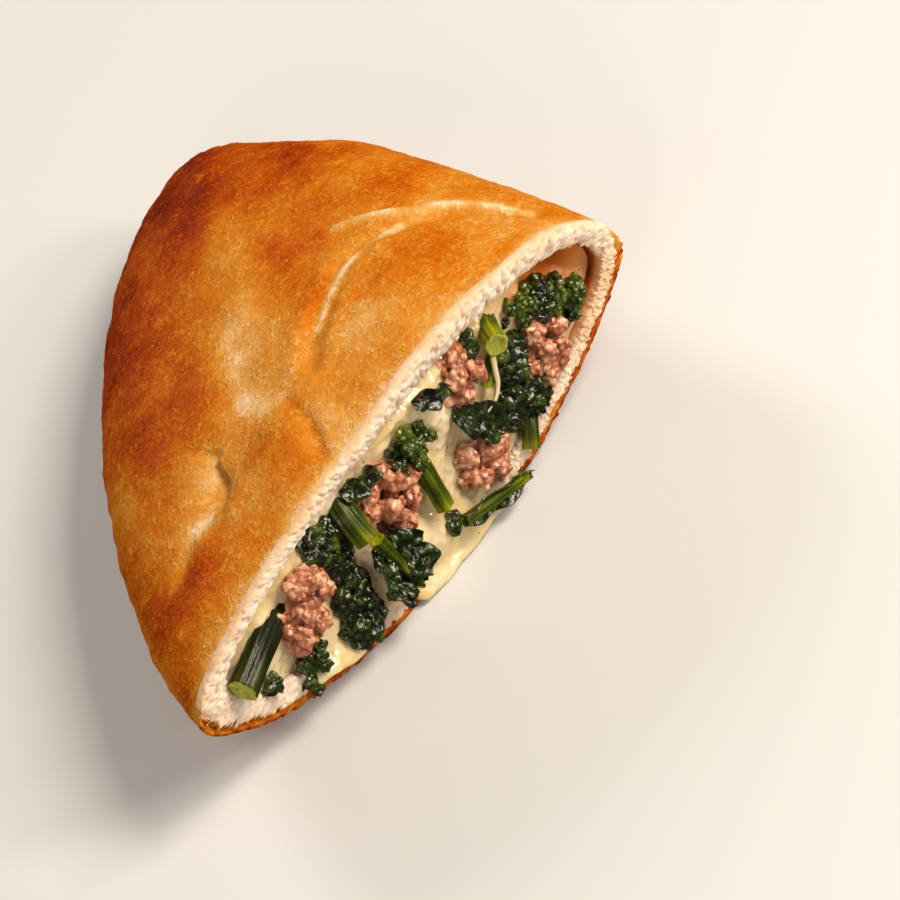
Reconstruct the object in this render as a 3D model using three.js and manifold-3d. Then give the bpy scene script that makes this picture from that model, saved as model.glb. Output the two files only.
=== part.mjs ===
// Half of a baked panzerotto: a folded dough crust cut across, filled with melted
// cheese, crumbled sausage and cooked broccoli rabe.
//
// Millimetres. While the pieces are shaped, +X runs along the chord of the cut from
// the sealed seam to the fold, +Y runs from the cut into the body, and +Z is up, with
// the bottom crust on z = 0. The last step moves the origin to a point of the flat base.
import * as THREE from 'three';
import Module from 'manifold-3d';

const wasm = await Module();
wasm.setup();
const { Manifold, Mesh } = wasm;

// ---- driving dimensions -------------------------------------------------------------
const CHORD = 130;          // length of the cut, seam to fold
const DEPTH = 106;          // from the cut to the horn, where seam and fold meet
const HORN_X = 111;         // the horn sits near the fold's side
const TOP_RISE = 22.6;      // middle of the section to the top crust, at the cut
const BOTTOM_DROP = 26.4;   // middle of the section to the bottom crust, before it rests flat
const MIDDLE_Z = 24.9;      // height of the section's middle at the cut
const HORN_Z = 15.8;        // and at the horn
const BASE_SOFTNESS = 1.5;  // radius-like softness where the bottom crust leaves the table
const SEAM_WALL = 8.2;      // dough at the sealed seam
const FOLD_WALL = 4.8;      // dough at the fold
const TOP_WALL = 5.3;       // dough of the top crust, at the middle
const BOTTOM_WALL = 4.0;    // dough of the bottom crust
const POCKET_DEPTH = 92;    // how far the filling reaches towards the horn
const GAP = 0.3;            // air left between neighbouring pieces
const ORIGIN = [70, 46, 0]; // point of the flat base that becomes the origin

// ---- small helpers ------------------------------------------------------------------
const TAU = 2 * Math.PI;
const clamp = (v, lo, hi) => Math.min(hi, Math.max(lo, v));
const lerp = (a, b, t) => a + (b - a) * t;
const fract = (v) => v - Math.floor(v);
const hash = (i, seed) => fract(Math.sin(i * 12.9898 + seed * 78.233) * 43758.5453);
const bell = (d, width) => Math.exp(-(d * d) / (width * width));

// Superellipse quarter: 1 at u = 0, falling to 0 at u = 1.
function quarter(u, p, q) {
  return Math.pow(Math.max(0, 1 - Math.pow(clamp(u, 0, 1), p)), 1 / q);
}

// Gentle unevenness of hand-shaped dough, about -1 to 1.
function undulation(x, y) {
  const a = Math.sin(0.083 * x + 0.9) * Math.cos(0.071 * y - 0.4);
  const b = 0.6 * Math.sin(0.157 * x - 0.131 * y + 2.1);
  const c = 0.35 * Math.sin(0.29 * x + 0.23 * y + 0.6);
  return (a + b + c) / 1.6;
}

// Distance from a point to a polyline in plan.
function pathDistance(x, y, path) {
  let best = Infinity;
  for (let i = 0; i + 1 < path.length; i++) {
    const [ax, ay] = path[i];
    const [bx, by] = path[i + 1];
    const len2 = (bx - ax) ** 2 + (by - ay) ** 2;
    const t = clamp(((x - ax) * (bx - ax) + (y - ay) * (by - ay)) / len2, 0, 1);
    best = Math.min(best, Math.hypot(x - lerp(ax, bx, t), y - lerp(ay, by, t)));
  }
  return best;
}

// ---- dough outline and section --------------------------------------------------------
// Seam side and fold side of the plan outline at depth y.
function outline(y) {
  const u = y / DEPTH;
  const seam = HORN_X * (1 - quarter(u, 1.31, 1.425));
  const fold = HORN_X + (CHORD - HORN_X) * quarter(u, 5.4, 2.75) + 2.7 * Math.sin(Math.PI * u);
  return [seam, fold];
}

// Height of the section's middle, and its rise and drop, at depth y.
function heights(y) {
  const u = clamp(y / DEPTH, 0, 1);
  const mid = lerp(MIDDLE_Z, HORN_Z, Math.pow(u, 1.5));
  return [mid, TOP_RISE * quarter(u, 2.14, 1.94), BOTTOM_DROP * quarter(u, 4.5, 2.2)];
}

// Height over the middle on a section of unit half-width, at angle phi.
function rise(phi, up, down, skew) {
  const c = Math.cos(phi);
  if (Math.sin(phi) >= 0) {
    return up * Math.pow(Math.max(0, 1 - Math.pow(Math.abs(c), 2.08)), 1 / 2.08) * (1 + skew * c);
  }
  return -down * Math.pow(Math.max(0, 1 - Math.pow(Math.abs(c), 1.64)), 1 / 1.64);
}

// The bottom crust sags flat on the table, with a soft edge to the flat.
function settle(z) {
  if (z >= BASE_SOFTNESS) return z;
  if (z <= -BASE_SOFTNESS) return 0;
  return ((z + BASE_SOFTNESS) ** 2) / (4 * BASE_SOFTNESS);
}

// Relief of the top crust in mm: stretch creases, a pinched dimple, a shallow valley.
const CREASE_LONG = [[66, 20], [72, 24], [82, 28.5], [89, 30.5], [98, 30], [106, 25.5], [115, 18], [120, 8]];
const CREASE_HIGH = [[95, 34.5], [103, 27.5], [114, 20]];
const CREASE_RIM = [[56, 13.5], [52, 9], [49, 4]];
const VALLEY = [[66, 38], [52, 25], [39, 20], [24, 15]];
function topRelief(x, y) {
  let d = 0.9 * undulation(x, y);
  d -= 0.9 * bell(pathDistance(x, y, CREASE_LONG), 2.2);
  d += 0.5 * bell(pathDistance(x, y, CREASE_LONG) - 3.4, 2.2);
  d -= 0.6 * bell(pathDistance(x, y, CREASE_HIGH), 1.8);
  d -= 0.5 * bell(pathDistance(x, y, CREASE_RIM), 1.6);
  d -= 0.9 * bell(pathDistance(x, y, VALLEY), 6);
  d -= 2.4 * bell(Math.hypot(x - 37, (y - 22) * 1.3), 5.5);
  return d;
}

// Outer face of the crust at depth y and section angle phi.
function crustPoint(y, phi) {
  const [seam, fold] = outline(y);
  const [mid, up, down] = heights(y);
  const half = (fold - seam) / 2;
  const dx = half * Math.cos(phi);
  const dz = rise(phi, up, down, 0.24);
  const x = (seam + fold) / 2 + dx;
  const lift = clamp(Math.sin(phi) * 2.2, 0, 1) * Math.min(1, up / 8);
  const side = 0.5 * undulation(2.1 * x + 40, 2.1 * y) * (1 - lift) * Math.min(1, half / 12);
  const len = Math.max(1e-6, Math.hypot(dx, dz));
  const push = lift * topRelief(x, y) + side;
  return [x + (push * dx) / len, y, settle(mid + dz + (push * dz) / len)];
}

// Wall of the pocket the filling lies in, shrunk by inset; it closes before the horn.
function pocketPoint(y, phi, inset = 0) {
  const [seam, fold] = outline(Math.max(0, y));
  const [mid, up, down] = heights(Math.max(0, y));
  const close = quarter(y / (POCKET_DEPTH - inset), 5, 2);
  const left = seam + SEAM_WALL + inset;
  const right = fold - FOLD_WALL - inset;
  const half = Math.max(0, ((right - left) / 2) * close);
  const top = Math.max(0.5, up - TOP_WALL - 1.1 - inset) * close;
  const bottom = Math.max(0.5, down - BOTTOM_WALL - 0.4 - inset) * close;
  const x = (left + right) / 2 + half * Math.cos(phi);
  return [x, y, mid + 1.1 + rise(phi, top, bottom, 0.2)];
}

// The pocket is faceted alike wherever it is used, so that what lies in it stays clear:
// the same angles round the section, and straight lines between the same depths.
const AROUND = 50;
const POCKET_STEPS = 7;
const ringOf = (f) => Array.from({ length: AROUND }, (_, j) => f((TAU * j) / AROUND));
const pocketDepth = (i) => (POCKET_DEPTH - 1) * Math.sin((Math.PI / 2) * (i / (POCKET_STEPS + 0.6)));
function pocketFacet(y, phi, inset = 0) {
  let i = 0;
  while (i < POCKET_STEPS - 1 && pocketDepth(i + 1) < y) i++;
  const t = clamp((y - pocketDepth(i)) / (pocketDepth(i + 1) - pocketDepth(i)), 0, 1);
  const a = pocketPoint(pocketDepth(i), phi, inset);
  const b = pocketPoint(pocketDepth(i + 1), phi, inset);
  return [lerp(a[0], b[0], t), y, lerp(a[2], b[2], t)];
}

// ---- closed meshes --------------------------------------------------------------------
// Rings of equal length joined by quads, with a fan to a point at each end. The quads
// face out when the rings run anticlockwise seen from the end they lead towards.
function skin(rings, startPoint, endPoint) {
  const n = rings[0].length;
  const points = rings.flat();
  const faces = [];
  for (let i = 0; i + 1 < rings.length; i++) {
    for (let j = 0; j < n; j++) {
      const a = i * n + j;
      const b = i * n + ((j + 1) % n);
      faces.push(a, b, b + n, a, b + n, a + n);
    }
  }
  const start = points.push(startPoint) - 1;
  const end = points.push(endPoint) - 1;
  const last = (rings.length - 1) * n;
  for (let j = 0; j < n; j++) {
    faces.push(start, (j + 1) % n, j);
    faces.push(end, last + j, last + ((j + 1) % n));
  }
  return { points, faces };
}

// Signed volume of a triangle mesh.
function signedVolume({ points, faces }) {
  let sum = 0;
  for (let i = 0; i < faces.length; i += 3) {
    const [a, b, c] = [points[faces[i]], points[faces[i + 1]], points[faces[i + 2]]];
    sum += a[0] * (b[1] * c[2] - b[2] * c[1]);
    sum += a[1] * (b[2] * c[0] - b[0] * c[2]);
    sum += a[2] * (b[0] * c[1] - b[1] * c[0]);
  }
  return sum / 6;
}

// A boolean body from points and faces, turned the right way out.
function solid(shape) {
  const faces = Uint32Array.from(shape.faces);
  if (signedVolume(shape) < 0) {
    for (let i = 0; i < faces.length; i += 3) [faces[i], faces[i + 1]] = [faces[i + 1], faces[i]];
  }
  const mesh = new Mesh({
    numProp: 3,
    vertProperties: Float32Array.from(shape.points.flat()),
    triVerts: faces,
  });
  return new Manifold(mesh);
}

// The largest connected body of a boolean result.
function largest(body) {
  const parts = body.decompose();
  return parts.sort((a, b) => b.volume() - a.volume())[0];
}

// Unit sphere directions and faces, from an icosahedron split evenly.
function sphereGrid(detail) {
  const ball = new THREE.IcosahedronGeometry(1, detail);
  const position = ball.getAttribute('position');
  const index = new Map();
  const directions = [];
  const faces = [];
  for (let i = 0; i < position.count; i++) {
    const v = new THREE.Vector3().fromBufferAttribute(position, i).normalize();
    const key = [v.x, v.y, v.z].map((c) => Math.round(c * 1e4)).join();
    if (!index.has(key)) {
      index.set(key, directions.length);
      directions.push(v);
    }
    faces.push(index.get(key));
  }
  return { directions, faces };
}

// ---- clusters: sausage crumbles, florets and curled leaf bunches --------------------------
// Nodule k of n sits by the golden angle, nudged by the seed.
function noduleDirection(k, n, seed) {
  const z = clamp(1 - (2 * (k + 0.5)) / n + 0.25 * (hash(k, seed) - 0.5), -1, 1);
  const turn = k * 2.399963 + seed + 0.8 * hash(k, seed + 3);
  const r = Math.sqrt(1 - z * z);
  return new THREE.Vector3(r * Math.cos(turn), r * Math.sin(turn), z);
}

// Distance from the centre to the far side of a union of nodules, along a direction:
// the farthest of the core and each nodule's sphere, for unit overall radius.
function clusterRadius(direction, { nodules, size, seed, core = 0.62 }) {
  let reach = core;
  for (let k = 0; k < nodules; k++) {
    const big = size * (0.8 + 0.4 * hash(k, seed + 7));
    const out = 1 - big;
    const along = out * noduleDirection(k, nodules, seed).dot(direction);
    const miss2 = out * out - along * along;
    if (along > 0 && miss2 < big * big) {
      reach = Math.max(reach, along + Math.sqrt(big * big - miss2));
    }
  }
  return reach;
}

// A cluster: half-axes in mm, turned by angle about Y (the direction out of the cut),
// so that its long axis can follow the cut. grow adds the same distance everywhere.
function cluster(form, grow = 0) {
  const { at, half, turn = 0, detail = 4 } = form;
  const { directions, faces } = sphereGrid(detail);
  const spin = new THREE.Matrix4().makeRotationY(turn);
  const points = directions.map((d) => {
    const r = clusterRadius(d, form);
    const p = new THREE.Vector3(d.x * half[0], d.y * half[1], d.z * half[2]).multiplyScalar(r);
    p.addScaledVector(d, grow);
    p.applyMatrix4(spin);
    return [at[0] + p.x, at[1] + p.y, at[2] + p.z];
  });
  return solid({ points, faces });
}

// ---- stems ------------------------------------------------------------------------------
// A ribbed, slightly oval stalk along a smooth curve, cut square at both ends.
function stem({ path, radii, ribs = 5, flat = 0.86, sides = 9, rings = 5 }, grow = 0) {
  const curve = new THREE.CatmullRomCurve3(path.map((p) => new THREE.Vector3(...p)));
  const out = [];
  const up = new THREE.Vector3(0, 1, 0);
  const ends = [];
  for (let i = 0; i <= rings; i++) {
    const t = i / rings;
    const centre = curve.getPoint(t);
    const along = curve.getTangent(t).normalize();
    if (i === 0) centre.addScaledVector(along, -grow);
    if (i === rings) centre.addScaledVector(along, grow);
    const side = new THREE.Vector3().crossVectors(up, along).normalize();
    const normal = new THREE.Vector3().crossVectors(along, side).normalize();
    const radius = lerp(radii[0], radii[1], t);
    const ring = [];
    for (let j = 0; j < sides; j++) {
      const a = (TAU * j) / sides;
      const r = radius * (1 + 0.05 * Math.cos(ribs * a)) + grow;
      const p = centre.clone();
      p.addScaledVector(side, r * Math.cos(a));
      p.addScaledVector(normal, r * flat * Math.sin(a));
      ring.push(p.toArray());
    }
    out.push(ring);
    if (i === 0 || i === rings) ends.push(centre.toArray());
  }
  return solid(skin(out, ends[0], ends[1]));
}

// ---- leaves -----------------------------------------------------------------------------
// A thin wavy blade. s runs along the midrib, t across it; the blade's half-width swells
// and narrows with s, its edges curl forward and ruffle, and it arches along its length.
function leafMiddle({ from, to, width, curl, ruffle, arch, seed }, s, t) {
  const a = new THREE.Vector3(...from);
  const b = new THREE.Vector3(...to);
  const along = b.clone().sub(a);
  const length = along.length();
  along.normalize();
  const out = new THREE.Vector3(0, -1, 0);
  const across = new THREE.Vector3().crossVectors(along, out).normalize();
  const front = new THREE.Vector3().crossVectors(across, along).normalize();
  if (front.y > 0) front.negate();
  const swell = Math.pow(Math.sin(Math.PI * clamp(0.12 + 0.8 * s, 0, 1)), 0.7);
  const edge = 1 + 0.12 * Math.sin(9 * s + seed) * Math.abs(t);
  const wave = ruffle * t * t * Math.sin(13 * s + 2.5 * Math.sign(t) + seed);
  const rise = curl * t * t + wave + arch * Math.sin(Math.PI * s);
  const p = a.clone();
  p.addScaledVector(along, s * length);
  p.addScaledVector(across, (width / 2) * swell * edge * t);
  p.addScaledVector(front, rise);
  return { p, front };
}

function leaf(form, grow = 0) {
  const [rows, cols] = form.grid ?? [10, 6];
  const halfThick = form.thick / 2 + grow;
  const faces = [];
  const points = [];
  const at = (side, i, j) => (side * (rows + 1) + i) * (cols + 1) + j;
  for (const side of [0, 1]) {
    for (let i = 0; i <= rows; i++) {
      for (let j = 0; j <= cols; j++) {
        const stretch = 1 + (grow > 0 ? 0.08 : 0);
        const s = (i / rows - 0.5) * stretch + 0.5;
        const t = ((2 * j) / cols - 1) * stretch;
        const { p, front } = leafMiddle(form, s, t);
        p.addScaledVector(front, side === 0 ? halfThick : -halfThick);
        points.push(p.toArray());
      }
    }
  }
  for (let i = 0; i < rows; i++) {
    for (let j = 0; j < cols; j++) {
      const [a, b, c, d] = [at(0, i, j), at(0, i + 1, j), at(0, i + 1, j + 1), at(0, i, j + 1)];
      const lift = (rows + 1) * (cols + 1);
      faces.push(a, b, c, a, c, d);
      faces.push(a + lift, c + lift, b + lift, a + lift, d + lift, c + lift);
    }
  }
  const rim = [];
  for (let i = 0; i < rows; i++) rim.push([i, 0]);
  for (let j = 0; j < cols; j++) rim.push([rows, j]);
  for (let i = rows; i > 0; i--) rim.push([i, cols]);
  for (let j = cols; j > 0; j--) rim.push([0, j]);
  rim.forEach(([i, j], k) => {
    const [m, n] = rim[(k + 1) % rim.length];
    const [a, b, c, d] = [at(0, i, j), at(0, m, n), at(1, m, n), at(1, i, j)];
    faces.push(a, c, b, a, d, c);
  });
  return solid({ points, faces });
}

// ---- crust ------------------------------------------------------------------------------
// One skin: from the horn down the outer face to the rim, across the crumb of the cut,
// and up the pocket's wall to its far end.
function crust() {
  const rings = [];
  const outerSteps = 20;
  for (let i = outerSteps; i >= 0; i--) {
    const y = DEPTH * Math.sin((Math.PI / 2) * (i / (outerSteps + 0.9)));
    rings.push(ringOf((phi) => crustPoint(y, phi)));
  }
  rings.push(ringOf((phi) => {
    const a = crustPoint(0, phi);
    const b = pocketPoint(0, phi);
    const crumb = -0.5 + 0.25 * Math.sin(7 * phi) + 0.2 * Math.sin(17 * phi + 1);
    return [lerp(a[0], b[0], 0.5), crumb, lerp(a[2], b[2], 0.5)];
  }));
  for (let i = 0; i <= POCKET_STEPS; i++) {
    rings.push(ringOf((phi) => pocketPoint(pocketDepth(i), phi)));
  }
  const horn = [HORN_X + 0.3, DEPTH, HORN_Z];
  const [seam, fold] = outline(POCKET_DEPTH);
  const end = [(seam + fold + SEAM_WALL - FOLD_WALL) / 2, POCKET_DEPTH, heights(POCKET_DEPTH)[0] + 1.1];
  return solid(skin(rings, horn, end));
}

// ---- cheese -----------------------------------------------------------------------------
// Depth of the cheese's front face: behind the cut in the corners, and bulging out of it
// where it has melted forward.
const CHEESE_BULGES = [
  [71, 36, 8, 3.4],
  [57, 12, 9, 3.6],
  [44, 8, 9, 2.2],
  [32, 9, 7, 2.6],
  [20, 19, 7, 2.2],
  [71, 6, 10, 3.2],
  [90, 30, 6, 1.6],
  [99, 8, 6, 1.4],
];
function cheeseFront(x, z) {
  let y = 1.6 + 0.5 * Math.sin(0.31 * x + 0.4 * z) + 0.4 * Math.sin(0.47 * x - 0.23 * z + 2);
  for (const [bx, bz, width, out] of CHEESE_BULGES) {
    y -= out * bell(Math.hypot(x - bx, z - bz), width);
  }
  y += 13 * bell(Math.hypot(x - 119, z - 33), 8.5);
  return y;
}

function cheeseCore() {
  const centre = [67, cheeseFront(67, 24), 24];
  const rings = [];
  for (const r of [0.18, 0.36, 0.54, 0.7, 0.84, 0.94]) {
    rings.push(ringOf((phi) => {
      const [ex, , ez] = pocketPoint(0, phi, GAP);
      const [x, z] = [lerp(centre[0], ex, r), lerp(centre[2], ez, r)];
      return [x, cheeseFront(x, z), z];
    }));
  }
  const last = pocketDepth(POCKET_STEPS) - GAP;
  const steps = 7;
  for (let i = 0; i <= steps; i++) {
    rings.push(ringOf((phi) => {
      const [x, , z] = pocketPoint(0, phi, GAP);
      const first = cheeseFront(x, z);
      return pocketFacet(lerp(first, last, Math.sin((Math.PI / 2) * (i / steps))), phi, GAP);
    }));
  }
  const [seam, fold] = outline(POCKET_DEPTH);
  const middle = (seam + fold + SEAM_WALL - FOLD_WALL) / 2;
  const end = [middle, last + 0.2, heights(POCKET_DEPTH)[0] + 1.1];
  return solid(skin(rings, centre, end));
}

// Cheese that has run forward over the bottom rim, one lip per run: centre, half-axes.
const CHEESE_LIPS = [
  { at: [69, -2.6, 4.6], half: [16, 2.1, 4.2], turn: 0.03 },
  { at: [35, -2.3, 8.0], half: [9, 1.7, 4.0], turn: 0.3 },
];
function cheese(room, cutters) {
  let body = cheeseCore();
  for (const lip of CHEESE_LIPS) {
    body = body.add(cluster({ ...lip, nodules: 0, core: 1, detail: 3 }).intersect(room));
  }
  for (const cutter of cutters) body = body.subtract(cutter);
  return largest(body);
}

// ---- filling ----------------------------------------------------------------------------
// The bed a piece leaves in the cheese is plainer than the piece: a cluster lies in an
// ellipsoid a little larger than its nodules reach.
function plainBed(make, form) {
  if (make === cluster) {
    return { core: 1, nodules: 0, detail: 1, half: form.half.map((h) => h * 1.07 + 0.1) };
  }
  return {};
}

// Where filling may lie: inside the pocket, and in front of the rim without touching it.
function bay() {
  const rim = (y) => ringOf((phi) => {
    const [x, , z] = crustPoint(0, phi);
    return [x, y, Math.max(z, 0.3)];
  });
  const rings = [rim(-14), rim(-1.25), ringOf((phi) => {
    const [x, , z] = pocketPoint(0, phi, GAP);
    return [x, -1.24, z];
  })];
  for (let i = 0; i <= 4; i++) rings.push(ringOf((phi) => pocketPoint(pocketDepth(i), phi, GAP)));
  const deep = pocketDepth(4);
  const [seam, fold] = outline(deep);
  const mouth = [67, -14, 24];
  const end = [(seam + fold) / 2, deep + 0.2, heights(deep)[0]];
  return solid(skin(rings, mouth, end));
}

const SAUSAGE = { nodules: 10, size: 0.39, detail: 3 };
const BUDS = { nodules: 11, size: 0.36, core: 0.7, detail: 3 };
const CURLS = { nodules: 9, size: 0.4, core: 0.66, detail: 2 };
const LEAF = { thick: 1.1, curl: 1.2, ruffle: 0.7, arch: 0.8, grid: [7, 4] };
const crumble = (at, half, turn, seed) => [cluster, { ...SAUSAGE, at, half, turn, seed }];
const buds = (at, half, turn, seed) => [cluster, { ...BUDS, at, half, turn, seed }];
const curls = (at, half, turn, seed) => [cluster, { ...CURLS, at, half, turn, seed }];
const stalk = (path, radii) => [stem, { path, radii }];
const blade = (from, to, width, seed, more = {}) => [leaf, { ...LEAF, from, to, width, seed, ...more }];

// Every piece of filling, the one in front first: each is trimmed by those before it.
const FILLING = [
  ['sausage_1', 'sausage', [crumble([104.0, 1.2, 20.2], [5.9, 4.6, 7.4], 0.45, 1)]],
  ['sausage_2', 'sausage', [crumble([82.4, 1.4, 34.0], [5.8, 4.6, 6.6], 0.6, 2)]],
  ['sausage_3', 'sausage', [crumble([80.8, 1.2, 13.0], [7.4, 4.8, 6.6], 0.8, 3)]],
  ['sausage_4', 'sausage', [crumble([56.9, 1.2, 26.2], [8.8, 5.0, 7.0], 1.4, 4)]],
  ['sausage_5', 'sausage', [crumble([31.0, 1.2, 25.0], [6.3, 4.8, 8.8], 0.5, 5)]],
  ['rabe_stem_1', 'stem', [stalk([[98.2, 9, 35.1], [94.3, 3, 36], [90.7, -2.6, 36.2]], [2.7, 2.6])]],
  ['rabe_stem_2', 'stem', [stalk([[48.4, 8, 35.5], [46.8, 1, 33.4], [46.6, -3, 28]], [2.4, 2.5])]],
  ['rabe_stem_3', 'stem', [stalk([[32.8, 7, 25.6], [19.4, 1, 26.6], [9.8, -2, 25.8]], [3.1, 3.0])]],
  ['rabe_leaf_1', 'leaf', [blade([49.4, -2, 23.6], [52.2, -3.2, 7.6], 12.5, 1, { curl: 2, grid: [9, 5] })]],
  ['rabe_floret_1', 'leaf', [
    buds([65.4, 0.5, 31.6], [6.4, 4.4, 5.8], 0.8, 11),
    stalk([[66.6, 1.0, 27.6], [66.1, -1.4, 22.7], [66, -2.9, 16.9]], [2.0, 1.9]),
  ]],
  ['rabe_floret_2', 'leaf', [
    buds([102.6, 3.2, 32.6], [5.6, 4.4, 5.4], 0.8, 12),
    buds([113.6, 2.2, 24.4], [6.2, 4.6, 6.2], 0.8, 13),
    curls([108.4, 3.6, 28.6], [4.6, 3.8, 4.8], 0.8, 15),
  ]],
  ['rabe_floret_3', 'leaf', [buds([26.6, -0.2, 12.5], [3.9, 3.2, 6.2], 0.45, 14)]],
  ['rabe_stem_4', 'stem', [stalk([[97.2, 2, 11.5], [94.4, 0, 9.5], [91.6, -1.5, 6.2]], [1.8, 1.8])]],
  ['rabe_bunch_1', 'leaf', [
    curls([95.6, 2.2, 25.4], [4.4, 3.8, 6.0], 0.3, 21),
    curls([98.0, 1.2, 15.0], [4.6, 3.8, 5.0], 0.4, 22),
    curls([92.6, 1.4, 17.4], [4.4, 3.8, 6.0], 0.2, 23),
  ]],
  ['rabe_leaf_2', 'leaf', [blade([77.6, -0.4, 30.2], [87.6, -0.8, 16.2], 7.5, 2)]],
  ['rabe_bunch_2', 'leaf', [
    curls([41.0, 0.4, 9.8], [6.0, 3.6, 5.2], 0.6, 24),
    curls([41.4, 1.6, 17.0], [4.4, 3.6, 5.2], 0.4, 25),
  ]],
  ['rabe_bunch_3', 'leaf', [
    curls([40.0, 3.0, 30.6], [5.2, 3.8, 5.6], 0.6, 26),
    curls([41.8, 3.0, 24.0], [4.2, 3.4, 5.4], 0.4, 27),
  ]],
  ['rabe_leaf_3', 'leaf', [blade([68.9, -2.2, 9.6], [88.0, -2.8, 3.9], 4.8, 3, { arch: 0.5 })]],
  ['rabe_leaf_4', 'leaf', [blade([69.6, 1.6, 40.2], [77.4, 0.6, 37.0], 4.6, 4)]],
  ['rabe_leaf_5', 'leaf', [blade([47.9, 1.6, 37.4], [57.6, 1.6, 34.8], 5.6, 5)]],
  ['rabe_leaf_6', 'leaf', [[cluster, { ...CURLS, at: [16.9, -0.2, 18.4], half: [2.4, 1.7, 2.1], turn: 0.4, seed: 28, nodules: 7, detail: 2 }]]],
  ['rabe_stem_5', 'stem', [[stem, { path: [[92.1, 0.4, 32.6], [89.5, -0.5, 31], [86.9, -0.6, 27.9]], radii: [1.4, 1.1], sides: 8, rings: 4 }]]],
];

// ---- colours and finish -------------------------------------------------------------------
const FINISH = {
  crust: { color: 0xc98a45, roughness: 0.62 },
  cheese: { color: 0xe9dcae, roughness: 0.3 },
  sausage: { color: 0xb58678, roughness: 0.45 },
  leaf: { color: 0x263a17, roughness: 0.35 },
  stem: { color: 0x7f9a36, roughness: 0.35 },
};

// A named mesh of a boolean body, moved to the part's origin.
function node(name, finish, body) {
  const raw = body.getMesh();
  const positions = new Float32Array(raw.numVert * 3);
  for (let i = 0; i < raw.numVert; i++) {
    for (let k = 0; k < 3; k++) {
      positions[3 * i + k] = raw.vertProperties[i * raw.numProp + k] - ORIGIN[k];
    }
  }
  const geometry = new THREE.BufferGeometry();
  geometry.setAttribute('position', new THREE.BufferAttribute(positions, 3));
  geometry.setIndex(new THREE.BufferAttribute(Uint32Array.from(raw.triVerts), 1));
  geometry.computeVertexNormals();
  const material = new THREE.MeshStandardMaterial({ ...FINISH[finish], metalness: 0 });
  material.name = finish;
  const mesh = new THREE.Mesh(geometry, material);
  mesh.name = name;
  return mesh;
}

// ---- assembly -----------------------------------------------------------------------------
const panzerotto = new THREE.Group();
panzerotto.name = 'panzerotto_half';
panzerotto.add(node('crust', 'crust', crust()));

const room = bay();
const union = (shapes, change, grow) => shapes
  .map(([make, form]) => make({ ...form, ...change(make, form) }, grow))
  .reduce((sum, body) => sum.add(body));
const asDrawn = () => ({});
const cutters = [];
const beds = [];
for (const [name, finish, shapes] of FILLING) {
  let piece = union(shapes, asDrawn, 0).intersect(room);
  for (const cutter of cutters) piece = piece.subtract(cutter);
  panzerotto.add(node(name, finish, largest(piece)));
  cutters.push(union(shapes, asDrawn, GAP));
  beds.push(union(shapes, plainBed, GAP));
}
panzerotto.add(node('cheese', 'cheese', cheese(room, beds)));

export default panzerotto;
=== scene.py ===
"""Looks of a cut panzerotto half: baked crust, crumb at the cut, melted cheese, sausage and greens.

Lengths are millimetres in the shaping frame (x along the cut's chord, y into the body, z up from
the flat base) until to_row() moves them to the row frame in metres.
"""

import math
from functools import partial

import bmesh
import bpy
import numpy as np
from mathutils import Matrix, Vector


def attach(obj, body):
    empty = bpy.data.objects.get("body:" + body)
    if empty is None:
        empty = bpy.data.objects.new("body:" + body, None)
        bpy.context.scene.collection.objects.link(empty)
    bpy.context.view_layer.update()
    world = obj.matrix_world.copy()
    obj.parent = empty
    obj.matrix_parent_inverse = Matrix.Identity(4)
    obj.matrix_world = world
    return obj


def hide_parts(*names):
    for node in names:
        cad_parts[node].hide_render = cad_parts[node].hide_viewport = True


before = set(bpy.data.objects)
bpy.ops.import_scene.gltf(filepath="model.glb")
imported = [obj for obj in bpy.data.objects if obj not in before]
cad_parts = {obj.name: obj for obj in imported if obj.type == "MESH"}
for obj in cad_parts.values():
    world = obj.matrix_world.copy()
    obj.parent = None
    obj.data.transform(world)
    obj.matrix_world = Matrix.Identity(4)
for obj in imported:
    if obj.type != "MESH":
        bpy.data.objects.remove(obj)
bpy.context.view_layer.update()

# ---- the dough's named sizes, as in the part's source ----
CHORD, DEPTH, HORN_X = 130.0, 106.0, 111.0
TOP_RISE, BOTTOM_DROP = 22.6, 26.4
MIDDLE_Z, HORN_Z, BASE_SOFTNESS = 24.9, 15.8, 1.5
SEAM_WALL, FOLD_WALL, TOP_WALL, BOTTOM_WALL = 8.2, 4.8, 5.3, 4.0
POCKET_DEPTH, POCKET_LIFT = 92.0, 1.1
ORIGIN = np.array([70.0, 46.0, 0.0])

# ---- numbers used throughout ----
TAU = 2 * math.pi
MM = 1000.0             # millimetres in a metre
GOLDEN_ANGLE = 2.399963
RNG_SEED = 7
AT_ONCE = 4000          # points measured against all centres at a time
TABLE_GAP = 0.3         # the filling stays this far above the table
SKIN_ROUND, CRUMB_ROUND, CHEESE_ROUND = 400, 1100, 520  # points round a section
SKIN_RINGS, CHEESE_RINGS, WALL_RINGS = 224, 110, 16  # rings outside, over the face, along the pocket
BLISTERS, BEADS = 260, 3600
TUCK_ROWS, BAND_ROWS = 3, 26  # rings of crumb under the skin, and over the band
LOBES = 14              # lobes of a crumble or a floret head


# ---- arithmetic shared by all pieces ----
def to_row(points):
    """Shaping frame in mm to row frame in metres: subtract the origin, divide by 1000."""
    return (points - ORIGIN) / MM


def bell(distance, width):
    """exp(-(distance / width)^2)."""
    return np.exp(-((distance / width) ** 2))


def smooth(value, low, high):
    """0 below low, 1 above high, 3t^2 - 2t^3 between."""
    t = np.clip((value - low) / (high - low), 0, 1)
    return t * t * (3 - 2 * t)


def quarter(u, p, q):
    """Superellipse quarter (1 - u^p)^(1/q): 1 at u = 0, falling to 0 at u = 1."""
    return np.maximum(0, 1 - np.clip(u, 0, 1) ** p) ** (1 / q)


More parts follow.
